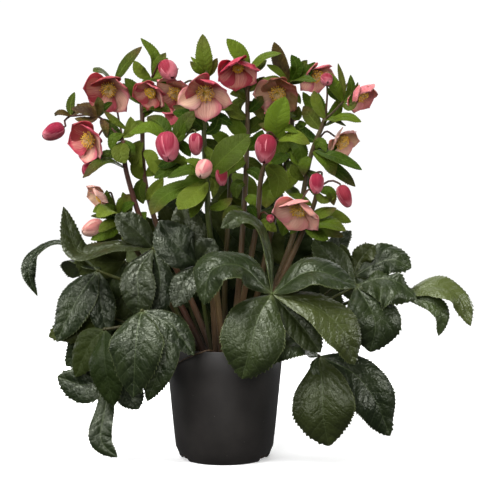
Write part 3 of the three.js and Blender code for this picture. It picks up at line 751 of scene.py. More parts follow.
class Blade:
    """One leaf blade, as a sheet whose edge is toothed and whose face is quilted between the veins."""

    slant = 0.75
    bow = 0.008

    def __init__(self, root: Place, leaflet: Leaflet, shape: BladeShape, seed: float) -> None:
        """Takes where the blade starts, its plan, its kind and a chance number."""
        self.route = Route([spot(root), *map(spot, leaflet.through)])
        self.shape = shape
        self.seed = seed
        self.facing = Vector(leaflet.face)
        self.halves = leaflet.half if isinstance(leaflet.half, tuple) else (leaflet.half, leaflet.half)
        self.wave, self.waves = leaflet.wave, leaflet.waves
        self.rows = 3 * max(4, round(self.route.length / shape.tooth))
        self.known: dict[float, tuple[Vector, Vector, Vector, Vector, float]] = {}

    def row(self, t: float) -> tuple[Vector, Vector, Vector, Vector, float]:
        """Returns the blade's own axes at a share along it.

        Args:
            t: How far along, from 0 to 1.

        Returns:
            The rib's point, the ways along, out and up there, and the width as a share of the widest.
        """
        if t not in self.known:
            along = self.route.along(t)
            out = along.cross(self.facing).normalized()
            root, tip = self.shape.root, self.shape.tip
            widest = root / (root + tip)
            full = (t / widest) ** root * ((1.0 - t) / (1.0 - widest)) ** tip
            self.known[t] = self.route.at(t), along, out, out.cross(along), full
        return self.known[t]

    def chance(self, x: float, y: float, kind: float = 0.0) -> float:
        """Returns smooth noise of this blade's own, from -1 to 1."""
        return noise.noise(Vector((x, y, self.seed + kind)))

    def corner(self, s: float, t: float) -> Corner:
        """Returns the blade's corner at a share across and along it.

        Args:
            s: How far across, from -1 to 1.
            t: How far along, from 0 to 1.

        Returns:
            The corner.
        """
        shape = self.shape
        t = min(max(t, 0.0), 1.0)
        rib, along, out, lift, full = self.row(t)
        inward = blend(1.0, 0.8, abs(s))
        lobed = 1.0 + 0.07 * self.chance(t * 5.0, 4.0 if s < 0 else 9.0)
        w = max(self.halves[0 if s < 0 else 1] * full * lobed, 1.3 - 1.1 * t)
        x, a = s * w, t * self.route.length
        apart = abs(x)
        wander = 1.8 * self.chance(x * 0.06, a * 0.04)
        phase = (a - apart * (self.slant + self.bow * apart) + wander) / shape.vein_step
        waved = math.sin(math.pi * t) * math.sin(2 * math.pi * self.waves * t + (0 if s > 0 else 2))
        rise = w * (shape.fold * abs(s) - shape.droop * s * s) + self.wave * s * s * waved
        quilt = (0.5 - 0.5 * math.cos(2 * math.pi * phase)) * blend(0.0, 0.3, abs(s)) * inward
        rise += shape.pucker * quilt * blend(2.0, 12.0, w)
        rise += 0.8 * shape.pucker * self.chance(x * 0.09, a * 0.09, 3.0) * inward
        soft = self.chance(x * 0.03, a * 0.022, 7.0)
        rise += shape.wobble * soft * blend(3.0, 16.0, w) * (0.25 + 0.75 * abs(s))
        forward = 0.0
        if abs(s) > Maker.rim and 0.0 < t < 1.0:
            step = round(t * self.rows) % 3
            uneven = 0.75 + 0.5 * noise.cell(Vector((a * 0.2, s, self.seed)))
            deep = shape.tooth_deep * blend(2.0, 7.0, w) * uneven
            x += s * deep * (-0.25, 0.3, 1.0)[step]
            forward = deep * (0.0, 0.25, 0.95)[step]
        return Corner(rib + out * x + along * forward + lift * rise, lift, x, phase)

    def build(self, maker: Maker, trait: Trait, material: int) -> None:
        """Adds the blade to a piece."""
        shape = self.shape
        maker.sheet(shape.columns, self.rows, self.corner, shape.thick, trait, material, self.route.length)


def footing(stand: tuple[float, float]) -> list[Vector]:
    """Returns the two lowest points of a stem that stands in the soil."""
    return [Vector((*stand, up)) for up in STEM_FEET]


@dataclass
class BasalLeaf:
    """A leaf that rises from the soil: a petiole that passes `via`, and leaflets round its hub."""

    name: str
    seed: int
    stand: tuple[float, float]
    via: list[Place]
    hub: Place
    leaflets: list[Leaflet]
    pale: float = 0.12
    yellow: float = 0.0
    red: float = 0.3
    # shaded: whether the leaf takes the darker leaf finish, which is painted shade.
    shaded: bool = False
    petiole: tuple[float, float] = (3.4, 2.4)
    solid: bool = True
    hub_radius: float = 2.9
    broad_from: float = 24.0

    def build(self, finishes: "Finishes") -> None:
        """Builds the leaf.

        Args:
            finishes: The plant's finishes.
        """
        maker = Maker()
        chance = random.Random(self.seed)
        hub = spot(self.hub)
        route = Route([*footing(self.stand), *map(spot, self.via), hub])
        thick, thin = self.petiole
        maker.tube(route, lambda t: thick + (thin - thick) * t, Trait(self.red, 0.0, chance.random()), 1, 12)
        maker.grain(hub, Vector([self.hub_radius] * 3), Trait(self.red, 0.0, 0.5), 1, 2)
        for leaflet in self.leaflets:
            wide = max(leaflet.half) if isinstance(leaflet.half, tuple) else leaflet.half
            seed = chance.uniform(0.0, 90.0)
            pale = min(self.pale + chance.uniform(-0.12, 0.12), 1.0)
            yellow = max(self.yellow + chance.uniform(-0.08, 0.08), 0.0)
            blade = Blade(self.hub, leaflet, BASAL if wide > self.broad_from else SLIM, seed)
            blade.build(maker, Trait(pale, yellow, seed), 0)
        # The darker finish paints the shade that falls inside the clump.
        skins = (finishes.shade if self.shaded else finishes.leaf, finishes.stem)
        nodes = (f"leaf_{self.name}",) if self.solid else ()
        maker.finish(f"{self.name}_leaf", skins, Slot.LEAF, *nodes)


@dataclass
class InnerLeaf(BasalLeaf):
    """A thinner leaf inside the clump, which has no solid, and takes the darker leaf finish: painted shade.
    """

    pale: float = 0.08
    shaded: bool = True
    petiole: tuple[float, float] = (2.6, 2.0)
    solid: bool = False


# ---------------------------------------------------------------- blooms


@dataclass
class Bloom:
    """A nodding bloom: five broad sepals, and stamens round the pistils at its heart.

    Its pedicel leaves the stalk at `start` and passes `via`. Its heart lies `at` a place and looks
    along `face`. Sizes are in mm, and angles in degrees.
    """

    name: str
    seed: int
    start: Place
    via: list[Place]
    at: Place
    face: Place
    size: float
    open: float
    roll: float
    rose: float
    olive: float = 0.0
    crowned: bool = True
    pale: bool = False
    tilts: tuple[float, ...] = (0.0, 0.0, 0.0, 0.0, 0.0)
    widths: tuple[float, ...] = (1.0, 1.0, 1.0, 1.0, 1.0)
    half: float = 0.54
    widest: float = 0.49
    widens: float = 0.85
    narrows: float = 0.7
    lap: float = 0.2
    cup: float = 0.32
    root_angle: float = 78.0
    end_angles: tuple[float, float] = (-8.0, 76.0)
    bowl: float = 3.0
    bowl_radius: float = 3.4
    thick: float = 0.8
    nectaries: int = 11
    anthers: int = 74
    pistils: int = 5
    stamen_long: float = 17.0
    stamen_short: float = 12.0
    golden_turn: float = 2.39996

    def __post_init__(self) -> None:
        """Works out the bloom's own axes."""
        self.axis = Vector(self.face).normalized()
        self.across = self.axis.cross(Vector((0.0, 0.0, 1.0))).normalized()
        self.up = self.across.cross(self.axis)
        self.heart = spot(self.at)

    def sepal(self, petal: int, chance: random.Random) -> Callable[[float, float], Corner]:
        """Returns the form of one sepal.

        Args:
            petal: Which of the five it is.
            chance: Where its own small differences come from.

        Returns:
            Its corner at each share across and along it.
        """
        first = math.radians(self.root_angle)
        shut, wide = self.end_angles
        tilt = self.tilts[petal] + chance.uniform(-7.0, 7.0)
        last = math.radians(shut + (wide - shut) * self.open + tilt)
        turn = math.radians(self.roll) + petal * 2 * math.pi / 5
        radial = self.up * math.cos(turn) + self.across * math.sin(turn)
        beside = self.across * math.cos(turn) - self.up * math.sin(turn)
        seed = chance.uniform(0.0, 90.0)
        ruffle = chance.uniform(0.5, 1.0)
        widest_half = self.half * self.widths[petal] * self.size

        def uneven(x: float, y: float, kind: float = 0.0) -> float:
            """Returns smooth noise of this sepal's own, from -1 to 1."""
            return noise.noise(Vector((x, y, seed + kind)))

        def corner(s: float, t: float) -> Corner:
            """Returns the sepal's corner."""
            bend = first + (last - first) * t
            reach = self.size * (1.0 - 0.07 * s * s)
            out = self.bowl + reach * (math.cos(first) - math.cos(bend)) / (last - first)
            rise = reach * (math.sin(bend) - math.sin(first)) / (last - first)
            narrowed = (max(1.0 - t, 0.0) / (1.0 - self.widest)) ** self.narrows
            full = (t / self.widest) ** self.widens * narrowed
            w = max(widest_half * full, 0.6 + 1.4 * (1.0 - t))
            lift = self.axis * math.sin(bend) - radial * math.cos(bend)
            edge = math.sin(9.0 * t + 3.0 * s + seed) * blend(0.5, 1.0, abs(s)) * blend(0.2, 0.7, t)
            rim = uneven(s * 3.0, t * 7.0, 20.0) * blend(0.6, 1.0, max(abs(s), t))
            high = self.lap * w * s + self.cup * w * s * s + uneven(s * 1.3, t * 2.6) * 2.2 * t
            high += ruffle * (0.9 * edge + 0.9 * rim)
            high -= 0.16 * w * blend(0.6, 1.05, abs(s)) * blend(0.25, 0.8, t)
            x = s * w * (1.0 + 0.05 * uneven(t * 6.0, s * 0.5, 40.0))
            place = self.heart + radial * out + self.axis * rise + beside * x + lift * high
            return Corner(place, lift)

        return corner

    def sepals(self, finishes: "Finishes") -> None:
        """Builds the bloom's five sepals, on the small bowl that they spring from.

        Args:
            finishes: The plant's finishes.
        """
        maker = Maker()
        chance = random.Random(self.seed)
        for petal in range(5):
            # Sepals tilted back over the heart get a deeper, darker rose: painted shade under the hood.
            hood_shade = max(-self.tilts[petal], 0.0) / 100.0
            rose = min(max(self.rose + hood_shade + chance.uniform(-0.3, 0.3), 0.0), 1.0)
            olive = max(self.olive + chance.uniform(-0.25, 0.25), 0.0)
            trait = Trait(rose, olive, chance.uniform(0.0, 60.0))
            maker.sheet(12, 16, self.sepal(petal, chance), self.thick, trait, 0)
        maker.grain(self.heart - self.axis * 0.6, Vector([self.bowl_radius] * 3), Trait(0.5, 0.5, 0.5), 1, 2)
        skin = finishes.pale if self.pale else finishes.sepal
        maker.finish(f"{self.name}_sepals", (skin, finishes.heart), Slot.SEPAL, f"bloom_{self.name}")

    def way(self, about: float, lean: float) -> Vector:
        """Returns a direction that leans off the bloom's axis."""
        beside = self.up * math.cos(about) + self.across * math.sin(about)
        return (self.axis * math.cos(lean) + beside * math.sin(lean)).normalized()

    def stamens(self, finishes: "Finishes") -> None:
        """Builds the bloom's heart: a ring of nectaries, the stamens, and the pistils.

        Args:
            finishes: The plant's finishes.
        """
        maker = Maker()
        chance = random.Random(self.seed + 500)
        spread = 0.45 + 0.75 * self.open
        long = self.stamen_long if self.crowned else self.stamen_short
        for i in range(self.nectaries):
            beside = self.way(i * 2 * math.pi / self.nectaries, math.pi / 2)
            foot = self.heart + beside * 4.0 + self.axis * 0.8
            tip = foot + beside * 1.6 + self.axis * 3.2
            bend = Route([foot, (foot + tip) / 2 + beside * 0.5, tip])
            maker.tube(bend, lambda t: 0.7 + 0.5 * t, Trait(0, 0, chance.random()), 2, 6, 4)
        for i in range(self.anthers):
            about = i * self.golden_turn
            ring = (i + 0.5) / self.anthers
            lean = spread * (0.25 + 0.8 * ring) + chance.uniform(-0.12, 0.12)
            foot = self.heart + self.way(about, math.pi / 2) * (1.6 + 1.9 * ring) + self.axis * 1.2
            reach = long * chance.uniform(0.78, 1.0) * (1.0 - 0.12 * ring)
            middle = foot + self.way(about, lean * 0.45) * reach * 0.5
            tip = middle + self.way(about, lean * 1.3) * reach * 0.5
            thread = Route([foot, middle, tip])
            maker.tube(thread, lambda t: 0.38 - 0.12 * t, Trait(0, 0, chance.random()), 0, 4, 5)
            size = chance.uniform(0.7, 1.0)
            maker.grain(tip, Vector((size, size, size * 1.25)), Trait(0, 0, chance.random()), 1, 1)
        for i in range(self.pistils):
            about = i * 2 * math.pi / self.pistils + 0.4
            foot = self.heart + self.way(about, math.pi / 2) * 1.0 + self.axis * 1.0
            middle = foot + self.way(about, 0.12) * 6.0
            tip = middle + self.way(about, 0.45) * 4.0
            maker.tube(Route([foot, middle, tip]), lambda t: 1.15 - 0.8 * t, Trait(0, 0, 0.8), 2, 7, 7)
        skins = (finishes.filament, finishes.anther, finishes.heart)
        nodes = (f"crown_{self.name}",) if self.crowned else ()
        maker.finish(f"{self.name}_stamens", skins, Slot.STAMEN, *nodes)


# ---------------------------------------------------------------- stalks


class Bract(NamedTuple):
    """A small leaf on a stalk, from its root to its tip, and how fresh it is (below 0, how brown)."""

    root: Place
    middle: Place
    tip: Place
    half: float
    face: Place
    tone: float = 0.0


class Bud(NamedTuple):
    """A closed bud: where its pedicel starts and passes, its foot, the way it points, and its size."""

    start: Place
    via: Place
    at: Place
    way: Place
    r: float
    long: float
    pale: bool = False


@dataclass
class Stalk:
    """A flowering stalk, with its arms, pedicels, bracts and closed buds.

    It stands in the soil and follows `path`. Each row of `bracts` and `small` holds the values of a
    Bract. The pairs are radii, in mm, at a stem's root and end.
    """

    name: str
    seed: int
    stand: tuple[float, float]
    path: list[Place]
    bracts: list[tuple]
    small: list[tuple]
    arms: list[list[Place]] = field(default_factory=list)
    buds: list[Bud] = field(default_factory=list)
    blooms: list[Bloom] = field(default_factory=list)
    red: float = 0.5
    fresh: float = 0.4
    tan: float = 0.7
    bud_rose: float = 0.8
    stem: tuple[float, float] = (5.2, 3.3)
    arm: tuple[float, float] = (1.9, 1.5)
    pedicel: tuple[float, float] = (1.6, 1.4)
    swollen: float = 0.12
    bloom_back: float = 3.3
    bloom_neck: float = 7.0
    bud_neck: float = 0.15
    bud_core: float = 0.6

    def shoot(
        self, maker: Maker, points: Sequence[Vector], radii: tuple[float, float], red: float, sides: int
    ) -> None:
        """Adds one stem.

        Args:
            maker: The piece.
            points: The points that the stem passes.
            radii: Its radius at its root and its end.
            red: How red it is.
            sides: Faces round it.
        """
        thick, thin = radii
        swell = self.swollen * thick

        def radius(t: float) -> float:
            """Returns the radius at a share of the way, a little swollen at the ends."""
            return thick + (thin - thick) * t + swell * (blend(0.06, 0.0, t) + blend(0.95, 1.0, t))

        maker.tube(Route(points), radius, Trait(red, self.tan, self.seed * 1.7 % 9.0), 0, sides)

    def hang(
        self, maker: Maker, start: Place, via: list[Place], end: Vector, way: Vector, straight: float
    ) -> None:
        """Adds the pedicel that a bud or bloom hangs on, whose last `straight` mm run along `way`."""
        points = [spot(start), *map(spot, via), end - way * straight, end]
        self.shoot(maker, points, self.pedicel, min(self.red + 0.15, 1.0), 8)

    def bud(self, maker: Maker, bud: Bud, chance: random.Random) -> None:
        """Adds a closed bud: five sepals round an egg, of which the one in front wraps the others.

        Args:
            maker: The piece.
            bud: Its plan.
            chance: Where its own small differences come from.
        """
        foot, way = spot(bud.at), Vector(bud.way).normalized()
        self.hang(maker, bud.start, [bud.via], foot, way, self.bud_neck * bud.long)
        turn = way.to_track_quat("Z", "Y")
        middle = bud.long / 2.0
        core = Vector([bud.r * self.bud_core] * 3)
        maker.grain(foot + way * (middle - 1.5), core, Trait(0.2, 0, 0), 2, 2)
        starts = [petal * 2 * math.pi / 5 + bud.r for petal in range(5)]
        front = min(starts, key=lambda about: (turn @ Vector((math.cos(about), math.sin(about), 0.0))).y)
        for start in starts:
            wraps = start == front
            lean = chance.uniform(-0.08, 0.08)
            seed = chance.uniform(0.0, 50.0)
            plump = chance.uniform(0.93, 1.0)
            if wraps:
                plump, reach, rounded, narrowed, twist = 1.06, 0.80, 0.16, 0.35, 0.0
            else:
                reach, rounded, narrowed, twist = 0.93, 0.04, 0.0, 0.06

            def corner(s: float, t: float) -> Corner:
                """Returns the corner of one wrapped sepal."""
                down = math.pi * (0.04 + reach * t - rounded * s * s * t**3)
                about = start - 1.2 * s * (1.0 - narrowed * t**3) + lean
                ring = bud.r * plump * math.sin(down) ** 0.68 * (1.04 - 0.20 * blend(0.3, 1.0, t))
                ring *= 1.0 + twist * s + 0.07 * noise.noise(Vector((s * 1.5, t * 2.5, seed)))
                out = Vector((math.cos(about), math.sin(about), 0.0))
                tall = middle - 1.5 - middle * math.cos(down) + 0.03 * bud.long * t**5 * (1.0 - 0.5 * s * s)
                place = out * ring + Vector((0.0, 0.0, tall))
                lift = Vector((0.0, 0.0, math.cos(down) / middle)) - out * math.sin(down) / bud.r
                return Corner(foot + turn @ place, turn @ lift.normalized())

            rose = 0.6 if bud.pale else self.bud_rose
            rose = min(max(rose + chance.uniform(-0.4, 0.25) + (0.4 if wraps else -0.1), 0.0), 1.0)
            trait = Trait(rose, 0.2 * chance.random(), seed)
            maker.sheet(10, 14, corner, 0.5, trait, 3 if bud.pale else 2)

    def build(self, finishes: "Finishes") -> None:
        """Builds the stalk.

        Args:
            finishes: The plant's finishes.
        """
        maker = Maker()
        chance = random.Random(self.seed)
        self.shoot(maker, [*footing(self.stand), *map(spot, self.path)], self.stem, self.red, 14)
        for arm in self.arms:
            self.shoot(maker, [spot(place) for place in arm], self.arm, self.red, 10)
        for shape, rows in ((BRACT, self.bracts), (SMALL_BRACT, self.small)):
            for bract in (Bract(*row) for row in rows):
                seed = chance.uniform(0.0, 90.0)
                fresh = self.fresh + bract.tone + chance.uniform(-0.5, 0.3)
                trait = Trait(min(max(fresh, bract.tone), 1.0), max(chance.uniform(-0.1, 0.2), 0.0), seed)
                plan = Leaflet([bract.middle, bract.tip], bract.half, bract.face)
                Blade(bract.root, plan, shape, seed).build(maker, trait, 1)
        for bud in self.buds:
            self.bud(maker, bud, chance)
        for bloom in self.blooms:
            end = bloom.heart - bloom.axis * self.bloom_back
            self.hang(maker, bloom.start, bloom.via, end, bloom.axis, self.bloom_neck)
        skins = (finishes.stem, finishes.bract, finishes.bud, finishes.pale)
        maker.finish(f"{self.name}_stalk", skins, Slot.STALK, f"stalk_{self.name}")


# ---------------------------------------------------------------- pot and soil


@dataclass
class NurseryPot:
    """A plain black pot, with four drain notches at its foot. The profile runs outwards and up."""

    profile: tuple[tuple[float, float], ...] = (
        (0.0, 2.4), (49.0, 2.4), (50.5, 0.4), (52.0, 0.0), (63.2, 0.0), (64.4, 0.6), (66.2, 2.6),
        (67.6, 5.0), (69.1, 9.0), (73.0, 18.0), (77.6, 57.0), (81.5, 97.0), (84.8, 131.0), (88.0, 165.0),
    )
    wall: float = 2.0
    steps: int = 180
    notch_high: float = 9.0
    notch_from: float = 51.0
    notch_half: float = 15.0
    notches: tuple[float, ...] = (-23.0, 23.0, 157.0, 203.0)
    sharp_from: float = 0.9
    bevel: float = 0.45

    def in_notch(self, centre: Vector) -> bool:
        """Returns whether a face's middle lies in a notch."""
        turn = math.degrees(math.atan2(centre.y, centre.x))
        near = min(abs((turn - notch + 180.0) % 360.0 - 180.0) for notch in self.notches)
        return centre.z < self.notch_high and centre.xy.length > self.notch_from and near < self.notch_half

    def build(self, finish: bpy.types.Material) -> None:
        """Builds the pot.

        Args:
            finish: Its finish.
        """
        maker = Maker()
        bm = maker.bm
        line = [bm.verts.new((r, 0.0, z)) for r, z in self.profile]
        edges = [bm.edges.new(pair) for pair in zip(line, line[1:])]
        bmesh.ops.spin(
            bm, geom=[*line, *edges], cent=(0, 0, 0), axis=(0, 0, 1), angle=2 * math.pi,
            steps=self.steps, use_merge=True, use_duplicate=False,
        )
        bmesh.ops.remove_doubles(bm, verts=bm.verts, dist=1e-4)
        cut = [face for face in bm.faces if self.in_notch(face.calc_center_median())]
        bmesh.ops.delete(bm, geom=cut, context="FACES")
        bmesh.ops.recalc_face_normals(bm, faces=bm.faces)
        if sum(face.normal.xy.dot(face.calc_center_median().xy) for face in bm.faces) < 0:
            bmesh.ops.reverse_faces(bm, faces=bm.faces)
        bmesh.ops.solidify(bm, geom=bm.faces, thickness=self.wall)
        sharp = [edge for edge in bm.edges if edge.is_manifold and edge.calc_face_angle() > self.sharp_from]
        bmesh.ops.bevel(
            bm, geom=sharp, offset=self.bevel, offset_type="OFFSET", affect="EDGES", segments=2, profile=0.5,
            material=-1, clamp_overlap=True,
        )
        for face in bm.faces:
            face.smooth = True
        maker.finish("nursery_pot", (finish,), Slot.POT, "pot")


@dataclass
class PottingSoil:
    """The peat in the pot: its solid stays, and loose crumbs lie on it."""

    top: float = 148.0
    edge: float = 81.0
    fall: float = 2.0 / 84.0
    crumbs: int = 620
    clear: float = 4.0
    seed: int = 41

    def build(self, node: bpy.types.Object, stems: Sequence[tuple[float, float]]) -> None:
        """Gives the soil's own solid its finish, and builds the crumbs on it.

        Args:
            node: The soil's own solid.
            stems: Where stems stand, as (x, y) in mm.
        """
        finish = SoilFinish().make()
        node.data.materials.clear()
        node.data.materials.append(finish)
        maker = Maker()
        chance = random.Random(self.seed)
        for _ in range(self.crumbs):
            r, turn = self.edge * math.sqrt(chance.random()), chance.uniform(0.0, 2 * math.pi)
            x, y = r * math.cos(turn), r * math.sin(turn)
            if min(math.hypot(x - sx, y - sy) for sx, sy in stems) < self.clear:
                continue
            size = 0.8 + 2.6 * chance.random() ** 2.5
            sizes = Vector([size * chance.uniform(0.6, 1.15) for _ in range(3)])
            centre = Vector((x, y, self.top - self.fall * r + sizes.z * 0.3))
            maker.grain(centre, sizes, Trait(0, 0, chance.random()), 0, 1)
        maker.finish("soil_crumbs", (finish,), Slot.SOIL)


@dataclass
class DryPetiole:
    """A withered leaf stem that has dropped over the rim."""

    points: tuple[tuple[float, float, float], ...] = (
        (-4, -62, 147), (-10, -76, 160), (-19, -86.5, 167.5), (-34, -84, 163), (-53, -73, 154.5),
        (-71.5, -52, 142),
    )

    def build(self, finishes: "Finishes") -> None:
        """Builds the petiole."""
        maker = Maker()
        route = Route([Vector(point) for point in self.points])
        maker.tube(route, lambda t: 1.5 - 0.7 * t, Trait(0.0, 1.0, 3.0), 0, 8, 40)
        maker.finish("dry_petiole", (finishes.stem,), Slot.STALK)


# ---------------------------------------------------------------- studio


class Lamp(NamedTuple):
    """A square soft lamp: where it stands, how high it looks on the pot's axis, its side and its power."""

    name: str
    place: Place
    aim: float
    side: float
    power: float


@dataclass
class Studio:
    """A pale floor, soft light from all round and above, and the camera."""

    floor_half: float = 6.0
    field_of_view: float = 29.0
    seen: float = 1.05
    world: float = 0.11
    overhead: float = 2.7
    overhead_wide: float = 28.0
    overhead_tilt: tuple[float, float] = (22.0, -16.0)
    lamps: tuple[Lamp, ...] = (
        Lamp("lamp_left", (-1.5, -0.5, 0.7), 0.3, 0.5, 10),
        Lamp("lamp_right", (1.5, -0.5, 0.7), 0.3, 0.5, 10),
        Lamp("lamp_top", (-0.5, -0.8, 1.5), 0.3, 0.65, 14),
        Lamp("lamp_front", (-0.4, -1.7, 0.7), 0.4, 0.6, 12),
        Lamp("lamp_back", (0.2, 1.1, 1.5), 0.3, 1.5, 12),
        Lamp("lamp_behind", (-0.6, 1.7, 0.6), 0.3, 1.2, 12),
        Lamp("lamp_low", (0.1, -1.2, 0.12), 0.5, 0.4, 1.3),
        Lamp("lamp_edge_left", (-1.3, 0.9, 0.3), 0.1, 0.35, 4),
        Lamp("lamp_edge_right", (1.3, 0.9, 0.3), 0.1, 0.35, 4),
    )

    def lamp(self, plan: Lamp) -> None:
        """Adds a lamp, which the camera doesn't see.

        Args:
            plan: Where it stands, what it points at, how wide it is, and its power.
        """
        light = bpy.data.lights.new(plan.name, "AREA")
        light.shape = "SQUARE"
        light.size = plan.side
        light.energy = plan.power
        lamp = linked(plan.name, light)
        lamp.location = plan.place
        way = Vector((0.0, 0.0, plan.aim)) - Vector(plan.place)
        lamp.rotation_euler = way.to_track_quat("-Z", "Y").to_euler()
        lamp.visible_camera = False

    def floor(self) -> None:
        """Builds the floor."""
        bm = bmesh.new()
        bmesh.ops.create_circle(bm, cap_ends=True, segments=96, radius=self.floor_half)
        mesh = bpy.data.meshes.new("studio_floor")
        bm.to_mesh(mesh)
        bm.free()
        mesh.materials.append(StageFinish().make())
        floor = linked("studio_floor", mesh)
        floor.visible_diffuse = floor.visible_glossy = False
        floor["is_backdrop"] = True

    def light(self) -> None:
        """Sets the lamps, and a surround that looks white and lights the plant more weakly."""
        for plan in self.lamps:
            self.lamp(plan)
        sun = bpy.data.lights.new("overhead", "SUN")
        sun.energy = self.overhead
        sun.angle = math.radians(self.overhead_wide)
        linked("overhead", sun).rotation_euler = (*map(math.radians, self.overhead_tilt), 0.0)
        world = bpy.data.worlds.new("white_surround")
        world.use_nodes = True
        tree = world.node_tree
        choice = tree.nodes.new("ShaderNodeMixShader")
        backgrounds = (tree.nodes.new("ShaderNodeBackground"), tree.nodes["Background"])
        for socket, background, strength in zip((1, 2), backgrounds, (self.world, self.seen)):
            background.inputs["Color"].default_value = WHITE
            background.inputs["Strength"].default_value = strength
            tree.links.new(background.outputs[0], choice.inputs[socket])
        rays = tree.nodes.new("ShaderNodeLightPath")
        tree.links.new(rays.outputs["Is Camera Ray"], choice.inputs[0])
        tree.links.new(choice.outputs[0], tree.nodes["World Output"].inputs["Surface"])
        bpy.context.scene.world = world

    def camera(self) -> None:
        """Places the camera."""
        data = bpy.data.cameras.new("camera")
        data.sensor_width = 36.0
        data.lens = data.sensor_width / 2.0 / math.tan(math.radians(self.field_of_view) / 2.0)
        data.clip_end = 10.0 * self.floor_half
        camera = linked("camera", data)
        camera.location = EYE * METRE
        camera.rotation_euler = (math.pi / 2, 0.0, 0.0)
        bpy.context.scene.camera = camera


# ---------------------------------------------------------------- the whole plant


@dataclass
class Finishes:
    """The finishes that the plant's parts share."""

    leaf: bpy.types.Material
    shade: bpy.types.Material
    bract: bpy.types.Material
    stem: bpy.types.Material
    sepal: bpy.types.Material
    pale: bpy.types.Material
    bud: bpy.types.Material
    filament: bpy.types.Material
    anther: bpy.types.Material
    heart: bpy.types.Material

    @classmethod
    def make(cls) -> "Finishes":
        """Returns a set of all of them."""
        leaf = LeafFinish(
            "basal_leaf", (0.0056, 0.0108, 0.0028), (0.016, 0.0245, 0.0068), (0.065, 0.092, 0.025),
            (0.09, 0.12, 0.030), (0.075, 0.100, 0.042), (0.17, 0.20, 0.085), 0.33, BASAL.vein_step,
            shine=0.38,
        )
        # A darker copy of the leaf finish, for leaves inside the clump: painted shade.
        shade = LeafFinish(
            "painted_shade_leaf", (0.004, 0.008, 0.002), (0.010, 0.016, 0.004), (0.03, 0.045, 0.01),
            (0.03, 0.042, 0.010), (0.028, 0.040, 0.015), (0.06, 0.07, 0.03), 0.42, BASAL.vein_step,
            shine=0.08,
        )
        bract = LeafFinish(
            "bract_leaf", (0.006, 0.018, 0.0012), (0.018, 0.044, 0.002), (0.096, 0.145, 0.011),
            (0.060, 0.090, 0.012), (0.070, 0.110, 0.014), (0.19, 0.22, 0.050), 0.30, BRACT.vein_step,
            mesh=0.34, quilt=0.7, relief=0.0005, shine=0.09, low=(0.045, 0.020, 0.018),
            low_light=(0.085, 0.045, 0.016), sheen=(0.80, 1.0, 0.38), tipped=0.8,
        )
        stem = StemFinish(
            "stem_skin", (0.038, 0.052, 0.009), (0.064, 0.016, 0.012), (0.36, 0.21, 0.105),
            (0.07, 0.016, 0.014),
        )
        sepal = SepalFinish(
            "sepal_skin", (0.92, 0.58, 0.42), (0.82, 0.32, 0.38), (0.46, 0.055, 0.085), (0.36, 0.012, 0.045),
            (0.62, 0.16, 0.19), (0.11, 0.085, 0.015), (0.17, 0.045, 0.020),
        )
        pale = SepalFinish(
            "pale_sepal_skin", (0.78, 0.50, 0.36), (0.78, 0.34, 0.34), (0.60, 0.20, 0.20), (0.60, 0.17, 0.19),
            (0.76, 0.46, 0.38), (0.30, 0.32, 0.10), (0.36, 0.20, 0.07), pale_rim=0.2,
        )
        bud = SepalFinish(
            "bud_skin", (0.50, 0.16, 0.15), (0.55, 0.10, 0.13), (0.30, 0.02, 0.05), (0.25, 0.009, 0.036),
            (0.62, 0.19, 0.23), (0.14, 0.06, 0.02), (0.30, 0.25, 0.08), pale_rim=0.75, rim_from=0.84,
        )
        filament = PowderFinish("filament", (0.82, 0.56, 0.26), (0.90, 0.74, 0.42), 0.5)
        anther = PowderFinish("anther", (0.66, 0.33, 0.02), (0.90, 0.60, 0.09), 0.7)
        heart = PowderFinish("heart", (0.34, 0.24, 0.035), (0.50, 0.36, 0.07), 0.45)
        finishes = (leaf, shade, bract, stem, sepal, pale, bud, filament, anther, heart)
        return cls(*(finish.make() for finish in finishes))


